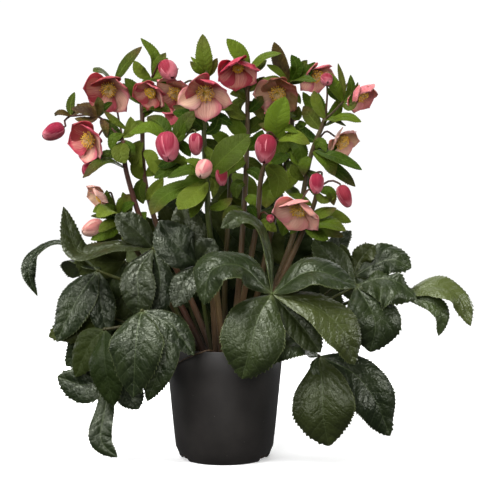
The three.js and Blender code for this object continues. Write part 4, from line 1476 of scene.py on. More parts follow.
LEAVES = [
    BasalLeaf("front_right", 10, (16, -50), [(40, 192, -75)], (71, 243, -105), pale=0.05, red=0.2, leaflets=[
        Leaflet([(24, 284, -124), (-20, 278, -138), (-31, 227, -132)], 36, (-3.5, -6, 7)),
        Leaflet([(66, 300, -88), (50, 345, -85), (22, 357, -86), (-6, 342, -92)], 18, (7.5, -3.5, 5.5)),
        Leaflet([(131, 277, -118), (198, 254, -112)], 31, (0.5, -6, 8)),
        Leaflet([(138, 223, -124), (180, 184, -132), (195, 137, -122)], 31, (3.5, -8, 5)),
        Leaflet([(50, 207, -128), (38, 161, -138), (26, 116, -128)], 44, (-0.5, -9.5, 3)),
        Leaflet([(112, 199, -104), (144, 155, -104)], 22, (0, -9, 4)),
    ]),
    BasalLeaf("low_right", 11, (46, -28), [(82, 189, -40)], (141, 150, -55), pale=0.05, red=0.9, leaflets=[
        Leaflet([(108, 170, -84), (58, 140, -106)], 25, (-2.5, -7, 6.5)),
        Leaflet([(134, 133, -68), (142, 117, -72)], 6, (-2, -9, 2)),
        Leaflet([(147, 102, -80), (148, 60, -86), (156, 15, -76)], 45, (-2.5, -9.5, 2)),
        Leaflet([(194, 123, -62), (226, 84, -66), (248, 30, -56)], 38, (3, -9, 3.5)),
    ]),
    BasalLeaf("right", 12, (50, -6), [(120, 212, -12)], (197, 255, -28), leaflets=[
        Leaflet([(230, 266, -36), (260, 260, -42), (288, 236, -44)], (12, 50), (0, -7.5, 6.5), 7, 3),
        Leaflet([(216, 225, -54), (226, 195, -64), (218, 156, -60)], 42, (3, -9, 3.5)),
        Leaflet([(166, 287, -22), (133, 325, -10)], 24, (-1, -8, 6)),
        Leaflet([(225, 272, 30), (250, 257, 80)], 30, (2, 1, 9.5)),
    ]),
    BasalLeaf("far_right", 13, (48, 14), [(130, 202, 10), (205, 237, 12)], (268, 237, 8), pale=0.5,
        yellow=0.06, red=0.2, leaflets=[
        Leaflet([(309, 254, -2), (350, 239, -4), (369, 195, -6)], 25, (2.5, -6, 7.5), 3),
        Leaflet([(308, 230, -12), (326, 212, -14), (321, 180, -14)], 15, (5, -8, 1)),
    ]),
    BasalLeaf("left", 14, (-38, -6), [(-76, 227, -26)], (-107, 311, -40), pale=-0.4, leaflets=[
        Leaflet([(-158, 315, -48), (-219, 306, -42), (-242, 374, -34)], 22, (1.5, -5, 8.5), 3),
        Leaflet([(-134, 339, -48), (-164, 362, -50)], 22, (-3, -7, 6)),
        Leaflet([(-129, 278, -64), (-129, 241, -74), (-131, 207, -68)], 25, (-2.5, -9, 3)),
        Leaflet([(-98, 274, -48), (-99, 240, -54), (-120, 209, -50)], 20, (2, -9.5, 2)),
    ]),
    BasalLeaf("front_left", 15, (-16, -48), [(-30, 217, -62)], (-40, 287, -78), pale=-0.55, red=0.1,
        leaflets=[
        Leaflet([(-70, 314, -90), (-98, 353, -78)], 30, (-2, -8.5, 5)),
        Leaflet([(-28, 307, -92), (-16, 325, -98)], 19, (1, -9, 4.5)),
        Leaflet([(-53, 333, -66), (-67, 379, -54)], 24, (0, -9, 4)),
        Leaflet([(-58, 259, -98), (-76, 223, -104)], 20, (-1, -9, 4)),
    ]),
    BasalLeaf("low_front_left", 16, (-40, -32), [(-82, 197, -70)], (-124, 218, -86), pale=0, leaflets=[
        Leaflet([(-131, 187, -108), (-134, 152, -118), (-137, 88, -112)], 38, (-1.5, -9.5, 2)),
        Leaflet([(-91, 180, -104), (-98, 132, -112), (-116, 82, -104)], 22, (1, -9.5, 2.5)),
        Leaflet([(-80, 195, -100), (-46, 151, -106)], 18, (1, -9, 4)),
    ]),
    BasalLeaf("mid_left", 17, (-52, -18), [(-108, 195, -40)], (-180, 190, -62), shaded=True, leaflets=[
        Leaflet([(-179, 139, -92), (-166, 75, -92)], 26, (-3.5, -9, 1.5)),
        Leaflet([(-202, 167, -62), (-224, 118, -54)], 24, (-4, -8.5, 3)),
    ]),
    BasalLeaf("low_left", 18, (-54, 2), [(-104, 183, -14)], (-168, 129, -42), pale=-0.2, leaflets=[
        Leaflet([(-206, 107, -50), (-251, 119, -44)], 26, (-2, -9.5, 1.5), 2),
        Leaflet([(-145, 97, -54), (-129, 70, -58)], 20, (1, -10, 1)),
        Leaflet([(-180, 68, -66), (-185, 24, -80), (-161, -2, -88)], 16, (-1, -10, 0), 4),
    ]),
    BasalLeaf("far_left", 19, (-50, 20), [(-115, 242, 14)], (-190, 278, 0), pale=-0.3, leaflets=[
        Leaflet([(-242, 319, 14), (-283, 306, 12), (-294, 272, 8), (-281, 240, 6)], 12, (0.5, -3.5, 9)),
        Leaflet([(-220, 236, -16), (-252, 171, -14)], 29, (-3, -9, 3)),
        Leaflet([(-186, 231, -18), (-176, 177, -20)], 20, (1, -9.5, 3)),
        Leaflet([(-212, 292, 50), (-228, 267, 100)], 30, (-1, 2, 9.5)),
    ]),
    BasalLeaf("back_left", 20, (-34, 38), [(-70, 202, 55)], (-110, 257, 80), pale=-0.4, leaflets=[
        Leaflet([(-160, 259, 105), (-205, 222, 120)], 32, (-2, 3, 9)),
        Leaflet([(-130, 242, 125), (-150, 177, 150)], 34, (-3, 8.5, 4)),
        Leaflet([(-90, 242, 125), (-70, 187, 160)], 30, (0, 8.5, 5)),
        Leaflet([(-125, 297, 100), (-150, 332, 110)], 26, (-2, 7, 6)),
    ]),
    BasalLeaf("back", 21, (6, 52), [(8, 230, 72)], (4, 305, 84), shaded=True, leaflets=[
        Leaflet([(-50, 342, 78), (-84, 400, 84)], 30, (-2, -9, 3)),
        Leaflet([(4, 362, 92), (14, 430, 96)], 28, (0, -9, 4)),
        Leaflet([(52, 345, 80), (86, 396, 88)], 30, (2, -9, 3)),
        Leaflet([(-46, 300, 112), (-92, 262, 130)], 30, (-2, 7, 7)),
        Leaflet([(52, 298, 114), (96, 258, 132)], 30, (2, 7, 7)),
        Leaflet([(4, 262, 132), (2, 196, 152)], 34, (0, 9, 4)),
    ]),
    BasalLeaf("back_right", 22, (36, 38), [(80, 202, 55)], (122, 255, 76), pale=-0.2, leaflets=[
        Leaflet([(175, 257, 100), (225, 219, 112)], 32, (2, 3, 9)),
        Leaflet([(145, 237, 115), (160, 172, 138)], 34, (3, 8.5, 4)),
        Leaflet([(160, 303, 62), (190, 338, 56)], 23, (-1, -6, 7.5)),
    ]),
]


STALKS = [
    Stalk("left", 50, (-27, -9), [(-66, 227, -8), (-112, 317, -12), (-146, 420, -18), (-152, 473, -20)],
        red=0.8, fresh=0.25, tan=0.1, arms=[[(-152, 473, -20), (-190, 509, 2), (-232, 510, 12)]], bracts=[
        ((-147, 431, -18), (-180, 443, -38), (-213, 417, -50), 13, (0, -5, 8.5)),
        ((-152, 471, -20), (-156, 455, -40), (-149, 439, -46), 13, (0, -9.5, 3)),
        ((-165, 562, 34), (-148, 588, 22), (-124, 614, 14), 12, (-3, -8, 5)),
        ((-167, 562, 34), (-184, 577, 16), (-198, 577, 6), 10, (0, -7, 7)),
    ], small=[
        ((-152, 474, -20), (-165, 483, -12), (-171, 501, -10), 10, (-2, -9, 3)),
        ((-152, 471, -20), (-159, 459, -8), (-176, 452, -6), 10, (-1, -9, 3)),
        ((-152, 477, -20), (-141, 489, -8), (-141, 509, -4), 9, (1, -9, 3)),
        ((-232, 510, 12), (-216, 521, 20), (-198, 524, 18), 9, (0, -7.5, 6), -1),
        ((-190, 509, 2), (-201, 522, 16), (-222, 525, 18), 9, (0, -8, 5), -1),
        ((-190, 509, 2), (-207, 518, -8), (-231, 521, -12), 9, (0, -8, 5), -1),
        ((-190, 509, 2), (-206, 503, -10), (-225, 506, -14), 8, (0, -7, 6), -1),
        ((-186, 506, 0), (-180, 495, -12), (-177, 477, -14), 6, (2, -9, 2), -1),
        ((-231, 510, 12), (-243, 515, 2), (-256, 513, -4), 6, (0, -8, 5), -0.9),
        ((-190, 509, 2), (-188, 525, -16), (-190, 539, -20), 7, (0, -9, 3), -0.7),
        ((-186, 506, 0), (-174, 492, 8), (-171, 473, 6), 9, (2, -9, 2)),
        ((-146, 489, -18), (-165, 503, -24), (-182, 518, -26), 5, (-3, -8, 4)),
        ((-152, 483, -18), (-166, 476, -26), (-171, 459, -30), 8, (-2, -9, 3)),
        ((-150, 474, -20), (-140, 462, -26), (-142, 447, -28), 6, (3, -9, 3)),
        ((-168, 561, 34), (-186, 558, 24), (-201, 542, 14), 9, (-3, -7, 6)),
        ((-190, 509, 2), (-207, 518, -4), (-222, 528, -8), 7, (0, -8, 5), -0.8),
        ((-231, 510, 12), (-246, 516, 4), (-255, 510, -4), 4, (0, -8, 5), -0.8),
        ((-231, 510, 12), (-231, 528, 14), (-225, 546, 12), 7, (-2, -9, 3)),
        ((-190, 509, 2), (-180, 522, -6), (-168, 530, -12), 8, (0, -7.5, 6)),
        ((-152, 444, -18), (-174, 453, -24), (-189, 447, -28), 8, (0, -7, 6)),
        ((-201, 444, -2), (-195, 435, -8), (-196, 426, -10), 5, (1, -9, 3)),
    ], buds=[
        Bud((-232, 510, 12), (-240, 503, 4), (-243, 493, -2), (-8.5, -3.5, -5), 12, 34),
        Bud((-147, 431, -18), (-180, 445, -2), (-204, 437, -6), (-2, -2, -9.5), 8, 19),
    ], blooms=[
        Bloom("far_left", 500, (-152, 473, -20), [(-174, 497, -4)], (-198, 476, -24), (-5.5, -7.5, -3), 38,
            0.62, 20, 0.55, tilts=(-30, -10, 8, 6, -24), widths=(1.1, 1, 1.1, 1.1, 1)),
        Bloom("top_left", 501, (-152, 473, -20), [(-161, 517, 34), (-166, 562, 34)], (-172, 554, 8),
            (-1, -7.5, -6), 43, 0.66, 0, 0.45, 0.25, tilts=(-48, -16, 6, 6, -26)),
    ]),
    Stalk("mid_left", 51, (-17, 11), [(-56, 247, 14), (-95, 327, 14), (-120, 417, 12), (-124, 528, 8)],
        red=0.7, fresh=0.4, tan=0.15, arms=[[(-124, 526, 8), (-118, 549, 16), (-108, 571, 16)]], bracts=[
        ((-124, 527, 8), (-140, 543, 20), (-153, 559, 22), 9, (2, -8, 5)),
        ((-108, 568, 16), (-104, 599, 10), (-126, 627, 8), 8, (3, -9, 2), 0.4),
        ((-108, 568, 16), (-96, 585, 10), (-85, 597, 8), 9, (0, -8, 6), 0.5),
    ], small=[
        ((-123, 504, 8), (-136, 492, 0), (-150, 480, -4), 10, (-1, -8, 5)),
        ((-123, 474, 9), (-135, 456, 4), (-136, 435, 0), 11, (-2, -9, 3)),
        ((-122, 459, 10), (-110, 447, 2), (-105, 423, -2), 10, (2, -9, 3)),
        ((-120, 417, 12), (-128, 399, 6), (-122, 378, 4), 9, (0, -9, 3)),
        ((-124, 516, 8), (-105, 527, -8), (-81, 516, -12), 11, (0, -7.5, 6)),
        ((-111, 567, 16), (-126, 576, 8), (-136, 593, 4), 9, (-2, -9, 3)),
        ((-108, 567, 16), (-88, 572, 2), (-69, 581, -2), 9, (1, -8, 5)),
        ((-108, 569, 16), (-99, 588, 4), (-88, 605, 2), 8, (1, -8.5, 4)),
        ((-123, 414, 12), (-132, 432, 4), (-126, 456, 0), 10, (-2, -9, 3)),
        ((-120, 420, 12), (-104, 432, 2), (-92, 444, -4), 10, (2, -8, 4)),
        ((-124, 522, 8), (-111, 531, -4), (-99, 543, -10), 8, (1, -9, 3)),
        ((-124, 528, 8), (-135, 549, -6), (-150, 567, -12), 9, (-2, -8.5, 4)),
        ((-123, 507, 8), (-108, 521, 10), (-93, 516, 10), 7, (0, -8, 6)),
        ((-108, 567, 16), (-118, 561, 6), (-122, 552, 0), 6, (-3, -9, 2)),
        ((-111, 564, 16), (-93, 564, 6), (-78, 558, 2), 7, (0, -7, 6)),
        ((-108, 567, 16), (-96, 576, 4), (-81, 594, 2), 6, (1, -9, 3)),
        ((-120, 384, 12), (-105, 399, 2), (-92, 417, -2), 9, (2, -9, 3)),
    ], buds=[
        Bud((-108, 568, 16), (-98, 590, 0), (-90, 588, -12), (4, -5.5, -7), 13, 34),
    ], blooms=[
        Bloom("upper_left", 510, (-124, 526, 8), [(-118, 552, -4)], (-108, 549, -18), (-3.5, -6, -7), 31,
            0.4, 10, 0.5, 0.1, crowned=False),
    ]),
    Stalk("centre", 52, (-12, -19), [(-18, 247, -26), (-24, 367, -30), (-31, 477, -28), (-26, 570, -24)],
        red=0.3, fresh=0.35, tan=1, bracts=[
        ((-26, 568, -24), (-31, 597, -34), (-33, 633, -32), 12, (0, -9.5, 2), 0.5),
        ((-26, 568, -24), (-40, 580, -34), (-52, 592, -34), 6, (-7, -7, 2), 0.2),
        ((-26, 568, -24), (-18, 583, -22), (-11, 597, -20), 6, (6, -8, 2), 0.2),
    ], small=[
        ((-30, 489, -28), (-51, 507, -44), (-78, 516, -50), 13, (0, -8, 5)),
        ((-30, 495, -28), (-57, 491, -46), (-81, 495, -50), 10, (0, -8, 5)),
        ((-30, 504, -28), (-10, 507, -20), (12, 497, -16), 10, (1, -8.5, 4)),
        ((-30, 516, -28), (-9, 525, -18), (15, 519, -14), 9, (1, -8, 5)),
        ((-26, 567, -24), (-38, 585, -28), (-51, 599, -26), 4, (-6, -7, 2), 0.2),
        ((-26, 569, -24), (-24, 585, -14), (-20, 605, -10), 4, (5, -8, 2), 0.1),
        ((-28, 534, -26), (-51, 516, -14), (-78, 525, -8), 10, (0, -8, 5)),
        ((-30, 492, -28), (-46, 501, -34), (-51, 516, -36), 6, (-1, -9, 3)),
        ((-30, 483, -28), (-15, 492, -32), (-9, 509, -32), 8, (1, -9, 3)),
        ((-30, 465, -30), (-21, 450, -40), (-27, 432, -44), 7, (1, -9, 3)),
    ], blooms=[
        Bloom("centre", 520, (-26, 568, -24), [(-28, 577, -36)], (-29, 548, -50), (-0.5, -8.4, -5.4), 43,
            0.72, 180, 0.15, tilts=(2, 2, -44, -40, 8), widths=(1.06, 0.78, 1, 1, 0.72)),
        Bloom("behind_centre", 521, (-28, 527, -26), [(-48, 562, 14)], (-70, 549, 16), (-3.5, -6.5, -6.5),
            36, 0.55, 30, 0.45, 0.1),
    ]),
    Stalk("mid_right", 53, (8, -6), [(20, 247, -2), (30, 387, 2), (34, 491, 4), (34, 577, 0)], red=0.6,
        fresh=0.35, tan=0.6, bracts=[
        ((34, 575, 0), (23, 602, -10), (3, 626, -14), 13, (1, -9, 3), 0.3),
        ((34, 575, 0), (58, 598, -8), (85, 604, -14), 9, (0, -7, 7)),
    ], small=[
        ((34, 573, 0), (21, 579, -10), (6, 576, -16), 6, (0, -8, 6)),
        ((34, 531, 2), (48, 521, 10), (57, 504, 8), 9, (2, -9, 3), -0.3),
        ((34, 537, 2), (21, 528, 14), (4, 515, 12), 10, (0, -8.5, 4), -0.2),
        ((33, 489, 4), (20, 506, 18), (3, 524, 16), 11, (-1, -8.5, 4), -0.2),
        ((33, 483, 4), (46, 497, 16), (63, 512, 14), 11, (1, -8.5, 4), -0.2),
        ((34, 546, 2), (48, 557, 10), (60, 569, 10), 7, (1, -8.5, 4), -0.4),
        ((34, 540, 2), (24, 552, 12), (12, 558, 12), 7, (-1, -8.5, 4), -0.2),
        ((34, 570, 0), (24, 585, 6), (18, 603, 8), 9, (1, -9, 3)),
        ((34, 573, 0), (51, 582, 4), (63, 594, 6), 6, (0, -8, 6)),
        ((34, 534, 2), (21, 543, -6), (8, 543, -10), 8, (0, -8, 5)),
        ((34, 507, 4), (15, 516, -8), (-2, 528, -12), 11, (-1, -8.5, 4)),
        ((34, 516, 4), (48, 528, -8), (57, 540, -12), 9, (1, -9, 4)),
        ((34, 474, 4), (18, 492, -4), (0, 504, -8), 11, (-2, -8.5, 4)),
        ((33, 459, 4), (48, 471, -6), (57, 489, -10), 10, (2, -9, 3)),
        ((32, 429, 3), (45, 426, -10), (57, 410, -14), 8, (1, -9, 3)),
        ((32, 411, 3), (18, 405, -8), (18, 386, -12), 9, (-2, -9, 3)),
        ((33, 444, 3), (15, 438, -4), (3, 423, -8), 12, (-2, -9, 3)),
        ((30, 390, 2), (42, 384, -8), (51, 369, -10), 9, (2, -9, 3)),
        ((28, 372, 2), (12, 366, -10), (-3, 351, -14), 11, (-2, -8.5, 4)),
    ], blooms=[
        Bloom("upper_centre", 530, (34, 573, 0), [(28, 595, -14)], (19, 588, -26), (1, -5, -8.4), 41, 0.26,
            36, 0.8, crowned=False, tilts=(-6, 0, 4, 0, -6), widths=(1.1, 1.1, 1.1, 1.1, 1.1)),
    ]),
    Stalk("right_back", 54, (24, 6), [(50, 247, 14), (80, 387, 24), (100, 483, 26), (98, 560, 22)], red=0.55,
        fresh=0.4, tan=0.3, bracts=[
        ((98, 559, 22), (83, 590, 10), (74, 621, 4), 12, (3, -9, 2), -0.6),
        ((98, 559, 22), (106, 580, 16), (112, 597, 12), 8, (-1, -9, 3)),
        ((98, 559, 22), (114, 566, -12), (137, 562, -26), 9, (0, -7, 7)),
        ((88, 425, 24), (72, 442, 6), (58, 440, -4), 14, (2, -9, 4)),
        ((84, 405, 24), (66, 396, 4), (62, 372, -2), 15, (-1, -9.5, 3)),
    ], small=[
        ((99, 480, 26), (87, 465, 20), (76, 447, 16), 11, (-1, -9, 3)),
        ((98, 558, 22), (117, 570, 14), (136, 591, 10), 9, (1, -8.5, 4)),
        ((98, 560, 22), (114, 582, 16), (124, 594, 12), 7, (1, -8.5, 4)),
        ((96, 465, 26), (108, 447, 14), (123, 435, 10), 11, (1, -8.5, 4)),
        ((98, 560, 22), (108, 582, 6), (100, 602, 2), 9, (0, -9, 3)),
        ((98, 558, 22), (81, 576, 2), (63, 587, -4), 7, (0, -8, 5)),
        ((98, 552, 22), (82, 564, -2), (57, 566, -8), 8, (0, -7, 6)),
        ((98, 534, 23), (106, 540, 10), (114, 528, 6), 6, (2, -9, 2)),
        ((99, 516, 24), (108, 510, 8), (111, 525, 4), 7, (1, -9, 2)),
        ((99, 489, 26), (110, 495, 10), (123, 498, 6), 9, (1, -8, 5)),
        ((98, 474, 26), (112, 462, 8), (117, 438, 4), 12, (1, -9, 3)),
        ((96, 459, 26), (84, 447, 6), (66, 438, 2), 10, (-1, -8.5, 5)),
        ((93, 444, 26), (104, 426, 6), (93, 399, 2), 11, (1, -9, 3)),
        ((86, 408, 24), (102, 396, 8), (114, 384, 4), 9, (2, -8, 4)),
        ((81, 390, 24), (66, 384, 8), (51, 378, 4), 8, (0, -8, 5)),
        ((78, 375, 24), (57, 363, 6), (39, 366, 2), 8, (-1, -8, 5)),
        ((76, 369, 24), (90, 354, 8), (87, 330, 4), 12, (1, -9, 3)),
    ], blooms=[
        Bloom("upper_right", 540, (98, 557, 22), [(116, 588, 38)], (133, 576, 34), (4, -5, -7.6), 34, 0.5,
            0, 0.35),
        Bloom("olive", 541, (98, 545, 22), [(90, 564, 12)], (80, 548, -4), (-1, -8, -5.8), 38, 0.65, 14,
            0.4, 0.75, tilts=(-20, 0, 8, 0, -20)),
    ]),
    Stalk("right_front", 55, (14, -29), [(28, 237, -38), (48, 347, -46), (56, 423, -50), (79, 476, -54)],
        red=0.6, fresh=0.4, tan=0.4, bracts=[
        ((79, 474, -54), (78, 503, -66), (91, 539, -64), 18, (1, -9.5, 2), 0.2),
        ((79, 474, -54), (104, 479, -66), (128, 468, -64), 13, (0, -7, 6.5), 0.2),
        ((62, 437, -52), (80, 417, -60), (76, 386, -62), 15, (2, -9.5, 2)),
    ], small=[
        ((80, 474, -54), (90, 492, -60), (110, 485, -64), 8, (1, -8, 5)),
        ((80, 473, -54), (66, 492, -58), (51, 498, -60), 6, (-1, -8, 5)),
        ((56, 399, -50), (66, 408, -58), (69, 423, -62), 7, (2, -9, 2)),
        ((51, 366, -48), (40, 372, -58), (48, 356, -62), 6, (0, -8, 5)),
        ((50, 351, -47), (63, 348, -56), (78, 336, -60), 9, (1, -8.5, 4)),
        ((48, 342, -46), (36, 351, -56), (21, 366, -60), 9, (-1, -8, 5)),
    ], buds=[
        Bud((48, 345, -46), (56, 366, -60), (68, 358, -70), (1, -8, -5), 5.5, 12),
        Bud((79, 474, -54), (70, 485, -66), (63, 479, -72), (-1, -3, -9.3), 15, 41),
    ]),
    Stalk("right", 56, (32, -14), [(72, 247, -16), (108, 347, -14), (128, 446, -12), (151, 506, -12)],
        red=0.55, fresh=0.4, tan=0.25, arms=[[(151, 505, -12), (166, 519, -12), (178, 532, -10)]], bracts=[
        ((149, 495, -12), (178, 508, -28), (205, 501, -36), 13, (0, -6, 8), 0.3),
        ((151, 504, -12), (138, 528, -22), (134, 548, -22), 9, (3, -9, 2)),
        ((178, 530, -10), (164, 556, -16), (153, 576, -14), 10, (2, -8.5, 4), 0.4),
        ((178, 530, -10), (176, 560, -2), (170, 589, 2), 6, (5, -8, 1), -0.7),
        ((133, 459, -12), (171, 447, -34), (206, 429, -42), 12, (0, -6.5, 7.5), -0.35),
        ((131, 456, -12), (166, 430, -20), (196, 404, -34), 12, (0, -7, 6.5), -0.35),
    ], small=[
        ((144, 489, -12), (130, 507, -6), (118, 525, -2), 11, (-2, -9, 3)),
        ((152, 506, -12), (132, 522, 6), (117, 546, 8), 9, (-1, -8.5, 4)),
        ((152, 504, -12), (166, 516, 4), (174, 539, 8), 9, (1, -9, 3)),
        ((138, 471, -12), (123, 480, 2), (106, 498, 4), 10, (-1, -8.5, 4)),
        ((132, 458, -12), (148, 459, 4), (171, 465, 10), 10, (1, -8, 5)),
        ((123, 429, -13), (132, 410, 0), (140, 387, 4), 10, (1, -9, 3)),
        ((152, 506, -12), (146, 522, -4), (140, 545, 0), 7, (3, -9, 1)),
        ((178, 530, -10), (189, 546, -14), (189, 572, -16), 7, (1, -9, 3)),
        ((178, 530, -10), (192, 537, -16), (200, 561, -18), 5, (3, -8.5, 3)),
        ((178, 530, -10), (164, 542, -4), (154, 552, 0), 7, (0, -8, 5)),
        ((178, 530, -10), (186, 522, -22), (201, 534, -26), 6, (2, -8, 5)),
        ((148, 498, -12), (159, 506, -26), (182, 495, -30), 7, (0, -6, 8)),
        ((132, 459, -12), (144, 471, -20), (152, 456, -24), 7, (1, -9, 3)),
        ((129, 450, -12), (120, 438, -24), (118, 420, -28), 8, (0, -8.5, 5)),
        ((132, 459, -12), (153, 444, -26), (165, 420, -30), 12, (1, -8.5, 5)),
        ((123, 429, -13), (135, 420, -24), (148, 414, -28), 8, (1, -8, 5)),
        ((120, 414, -13), (108, 423, -22), (99, 438, -24), 8, (-2, -8.5, 4)),
    ], buds=[
        Bud((151, 505, -12), (154, 546, 4), (152, 568, -12), (0.5, -8, -5), 9, 22),
    ], blooms=[
        Bloom("far_right", 560, (178, 530, -10), [(181, 552, 3), (187, 560, 3)], (199, 547, -6),
            (5.5, -5, -6.7), 33, 0.45, 25, 0.6, pale=True, tilts=(-40, -26, -8, -8, -40)),
        Bloom("mid_right", 561, (132, 458, -12), [(150, 486, 14)], (170, 476, 12), (6, -6, -5.3), 33, 0.5,
            0, 0.15, 0.1, pale=True, tilts=(-30, -10, 6, 0, -20)),
    ]),
    Stalk("low_right", 57, (35, -35), [(66, 227, -44), (104, 307, -34), (132, 372, -30), (140, 404, -34)],
        red=0.6, fresh=0.4, tan=0.3, bracts=[
        ((139, 400, -34), (157, 396, -42), (164, 376, -44), 9, (3, -8, 4)),
        ((120, 343, -32), (152, 350, -46), (182, 338, -50), 14, (0, -6.5, 7.5)),
    ], small=[
        ((126, 357, -30), (156, 362, -14), (190, 351, -12), 13, (1, -8, 5)),
        ((123, 351, -30), (147, 341, -10), (178, 329, -6), 11, (1, -8.5, 4)),
        ((138, 396, -34), (147, 384, -40), (165, 387, -44), 7, (1, -8, 5)),
        ((132, 375, -30), (114, 387, -38), (99, 390, -44), 8, (0, -7, 6)),
        ((126, 357, -32), (147, 363, -40), (168, 372, -44), 9, (1, -7, 6)),
        ((124, 354, -32), (108, 348, -42), (99, 333, -46), 9, (-1, -8.5, 5)),
        ((120, 342, -32), (138, 333, -42), (156, 324, -46), 10, (1, -8, 5)),
    ], buds=[
        Bud((140, 402, -34), (146, 424, -70), (138, 421, -88), (-0.5, -3, -9.5), 10, 28),
        Bud((140, 402, -34), (158, 413, -40), (174, 404, -44), (3.5, -1.5, -9), 10, 33),
    ], blooms=[
        Bloom("low_right", 570, (138, 398, -34), [(126, 400, -60)], (113, 376, -78), (-3, -6, -7.4), 42,
            0.6, 0, 0.45, pale=True, tilts=(-44, -12, 8, 6, -34)),
    ]),
    Stalk("front", 58, (-2, -39), [(-10, 227, -54), (-20, 317, -66), (-26, 371, -76), (-25, 423, -84)],
        red=0.12, fresh=0.4, tan=0.9, arms=[[(-25, 383, -78), (-56, 433, -66), (-80, 471, -58)]], bracts=[
        ((-24, 423, -84), (5, 453, -98), (37, 482, -94), 22, (0, -8.5, 5), -0.15),
        ((-26, 417, -83), (-88, 391, -96), (-111, 362, -106), 15, (-2, -8, 5), 0.2),
        ((-26, 413, -82), (-50, 389, -110), (-70, 370, -120), 17, (0, -7.5, 6.5), 0.3),
        ((-80, 471, -58), (-112, 492, -68), (-143, 483, -66), 13, (0, -6.5, 7.5), 0.1),
        ((-80, 471, -58), (-98, 498, -50), (-116, 509, -42), 13, (0, -7.5, 6)),
        ((-80, 471, -58), (-62, 496, -62), (-46, 518, -60), 12, (0, -8.5, 5)),
    ], small=[
        ((-51, 429, -66), (-78, 431, -58), (-106, 417, -54), 13, (-1, -8, 5)),
        ((-66, 450, -62), (-81, 441, -56), (-100, 434, -52), 10, (-1, -8, 5)),
        ((-26, 405, -80), (-45, 414, -84), (-64, 401, -86), 10, (-1, -8.5, 4)),
        ((-80, 471, -58), (-87, 483, -50), (-100, 489, -46), 7, (0, -7, 6)),
        ((-80, 471, -58), (-66, 480, -66), (-60, 501, -70), 6, (0, -9, 3)),
        ((-80, 471, -58), (-63, 465, -54), (-51, 449, -52), 8, (1, -8.5, 4)),
        ((-57, 434, -66), (-66, 444, -72), (-87, 443, -74), 8, (-1, -7, 6)),
        ((-26, 420, -84), (-39, 438, -88), (-60, 444, -90), 8, (-1, -7.5, 6)),
        ((-26, 414, -82), (-51, 429, -98), (-86, 417, -104), 10, (-1, -7.5, 6)),
        ((-24, 420, -84), (-15, 408, -86), (-18, 387, -88), 6, (2, -9, 2)),
        ((-24, 423, -84), (-3, 435, -76), (18, 438, -72), 10, (1, -8, 5)),
        ((-26, 399, -79), (-42, 378, -84), (-51, 357, -86), 9, (-1, -9, 3)),
        ((-24, 372, -76), (-6, 375, -82), (12, 387, -84), 8, (1, -8, 5)),
    ], buds=[
        Bud((-80, 469, -58), (-84, 486, -72), (-88, 482, -82), (1.5, -3.5, -9), 16, 42),
        Bud((-74, 462, -60), (-50, 488, -64), (-44, 482, -68), (0.5, -2, -9.5), 10, 31),
        Bud((-25, 421, -84), (-24, 443, -96), (-27, 440, -104), (-3, -5.5, -7.5), 11, 28, pale=True),
        Bud((-25, 421, -84), (-18, 440, -86), (-6, 431, -88), (1, -1, -9.8), 8.5, 25),
    ]),
    Stalk("low_left", 59, (-35, 13), [(-86, 237, 14), (-138, 317, 8), (-160, 360, 2)], red=0.5, fresh=0.4,
        tan=0.1, bracts=[
        ((-160, 359, 2), (-174, 370, -28), (-192, 358, -40), 14, (-1, -8, 5)),
        ((-160, 359, 2), (-150, 377, -8), (-142, 393, -8), 12, (1, -9, 3)),
        ((-150, 341, 4), (-144, 333, -18), (-152, 319, -26), 11, (2, -9, 4)),
    ], small=[
        ((-160, 359, 2), (-180, 372, 6), (-198, 366, 4), 9, (-1, -8.5, 4)),
        ((-152, 345, 4), (-174, 336, 2), (-201, 324, -2), 11, (-1, -8.5, 4)),
        ((-156, 353, 3), (-147, 372, 6), (-153, 396, 4), 9, (1, -9, 3)),
        ((-160, 359, 2), (-174, 381, -2), (-177, 399, -4), 7, (-2, -9, 3)),
        ((-160, 360, 2), (-150, 372, -16), (-135, 380, -22), 8, (1, -8, 5)),
        ((-156, 353, 3), (-174, 348, -12), (-189, 336, -18), 9, (-1, -8.5, 4)),
        ((-158, 354, 3), (-168, 368, -18), (-184, 375, -24), 8, (-1, -8, 5)),
        ((-147, 336, 6), (-132, 351, -8), (-117, 366, -12), 10, (1, -8.5, 4)),
        ((-159, 357, 2), (-180, 360, -10), (-201, 360, -14), 6, (0, -7.5, 6)),
    ], buds=[
        Bud((-152, 345, 4), (-170, 352, 14), (-184, 348, 12), (-8, -4, -4), 12, 34, pale=True),
    ], blooms=[
        Bloom("left_pale", 590, (-160, 359, 2), [(-168, 388, 16)], (-180, 391, 10), (-8, -4, -4.5), 31, 0.3,
            0, 0.05, 0.05, pale=True, crowned=False),
    ]),
    Stalk("back", 60, (2, 24), [(0, 247, 44), (6, 367, 62), (10, 457, 74)], red=0.5, fresh=0.4, tan=0,
        arms=[[(10, 456, 74), (-22, 492, 68), (-52, 517, 66)], [(10, 456, 74), (40, 489, 68), (62, 513, 66)]],
        bracts=[
        ((10, 456, 74), (-20, 467, 92), (-48, 457, 104), 14, (0, 6, 8)),
        ((10, 456, 74), (38, 469, 90), (66, 461, 100), 14, (0, 6, 8)),
        ((-52, 516, 66), (-60, 539, 74), (-72, 559, 76), 11, (-2, 9, 3)),
        ((62, 512, 66), (72, 531, 76), (86, 543, 80), 11, (2, 9, 4)),
    ], small=[
        ((10, 456, 74), (-3, 474, 60), (-21, 486, 54), 12, (-1, -8, 5)),
        ((10, 456, 74), (24, 477, 60), (42, 492, 54), 12, (1, -8, 5)),
        ((9, 429, 70), (-12, 417, 56), (-27, 396, 50), 13, (-2, -9, 3)),
        ((9, 423, 70), (33, 408, 56), (48, 387, 50), 13, (2, -9, 3)),
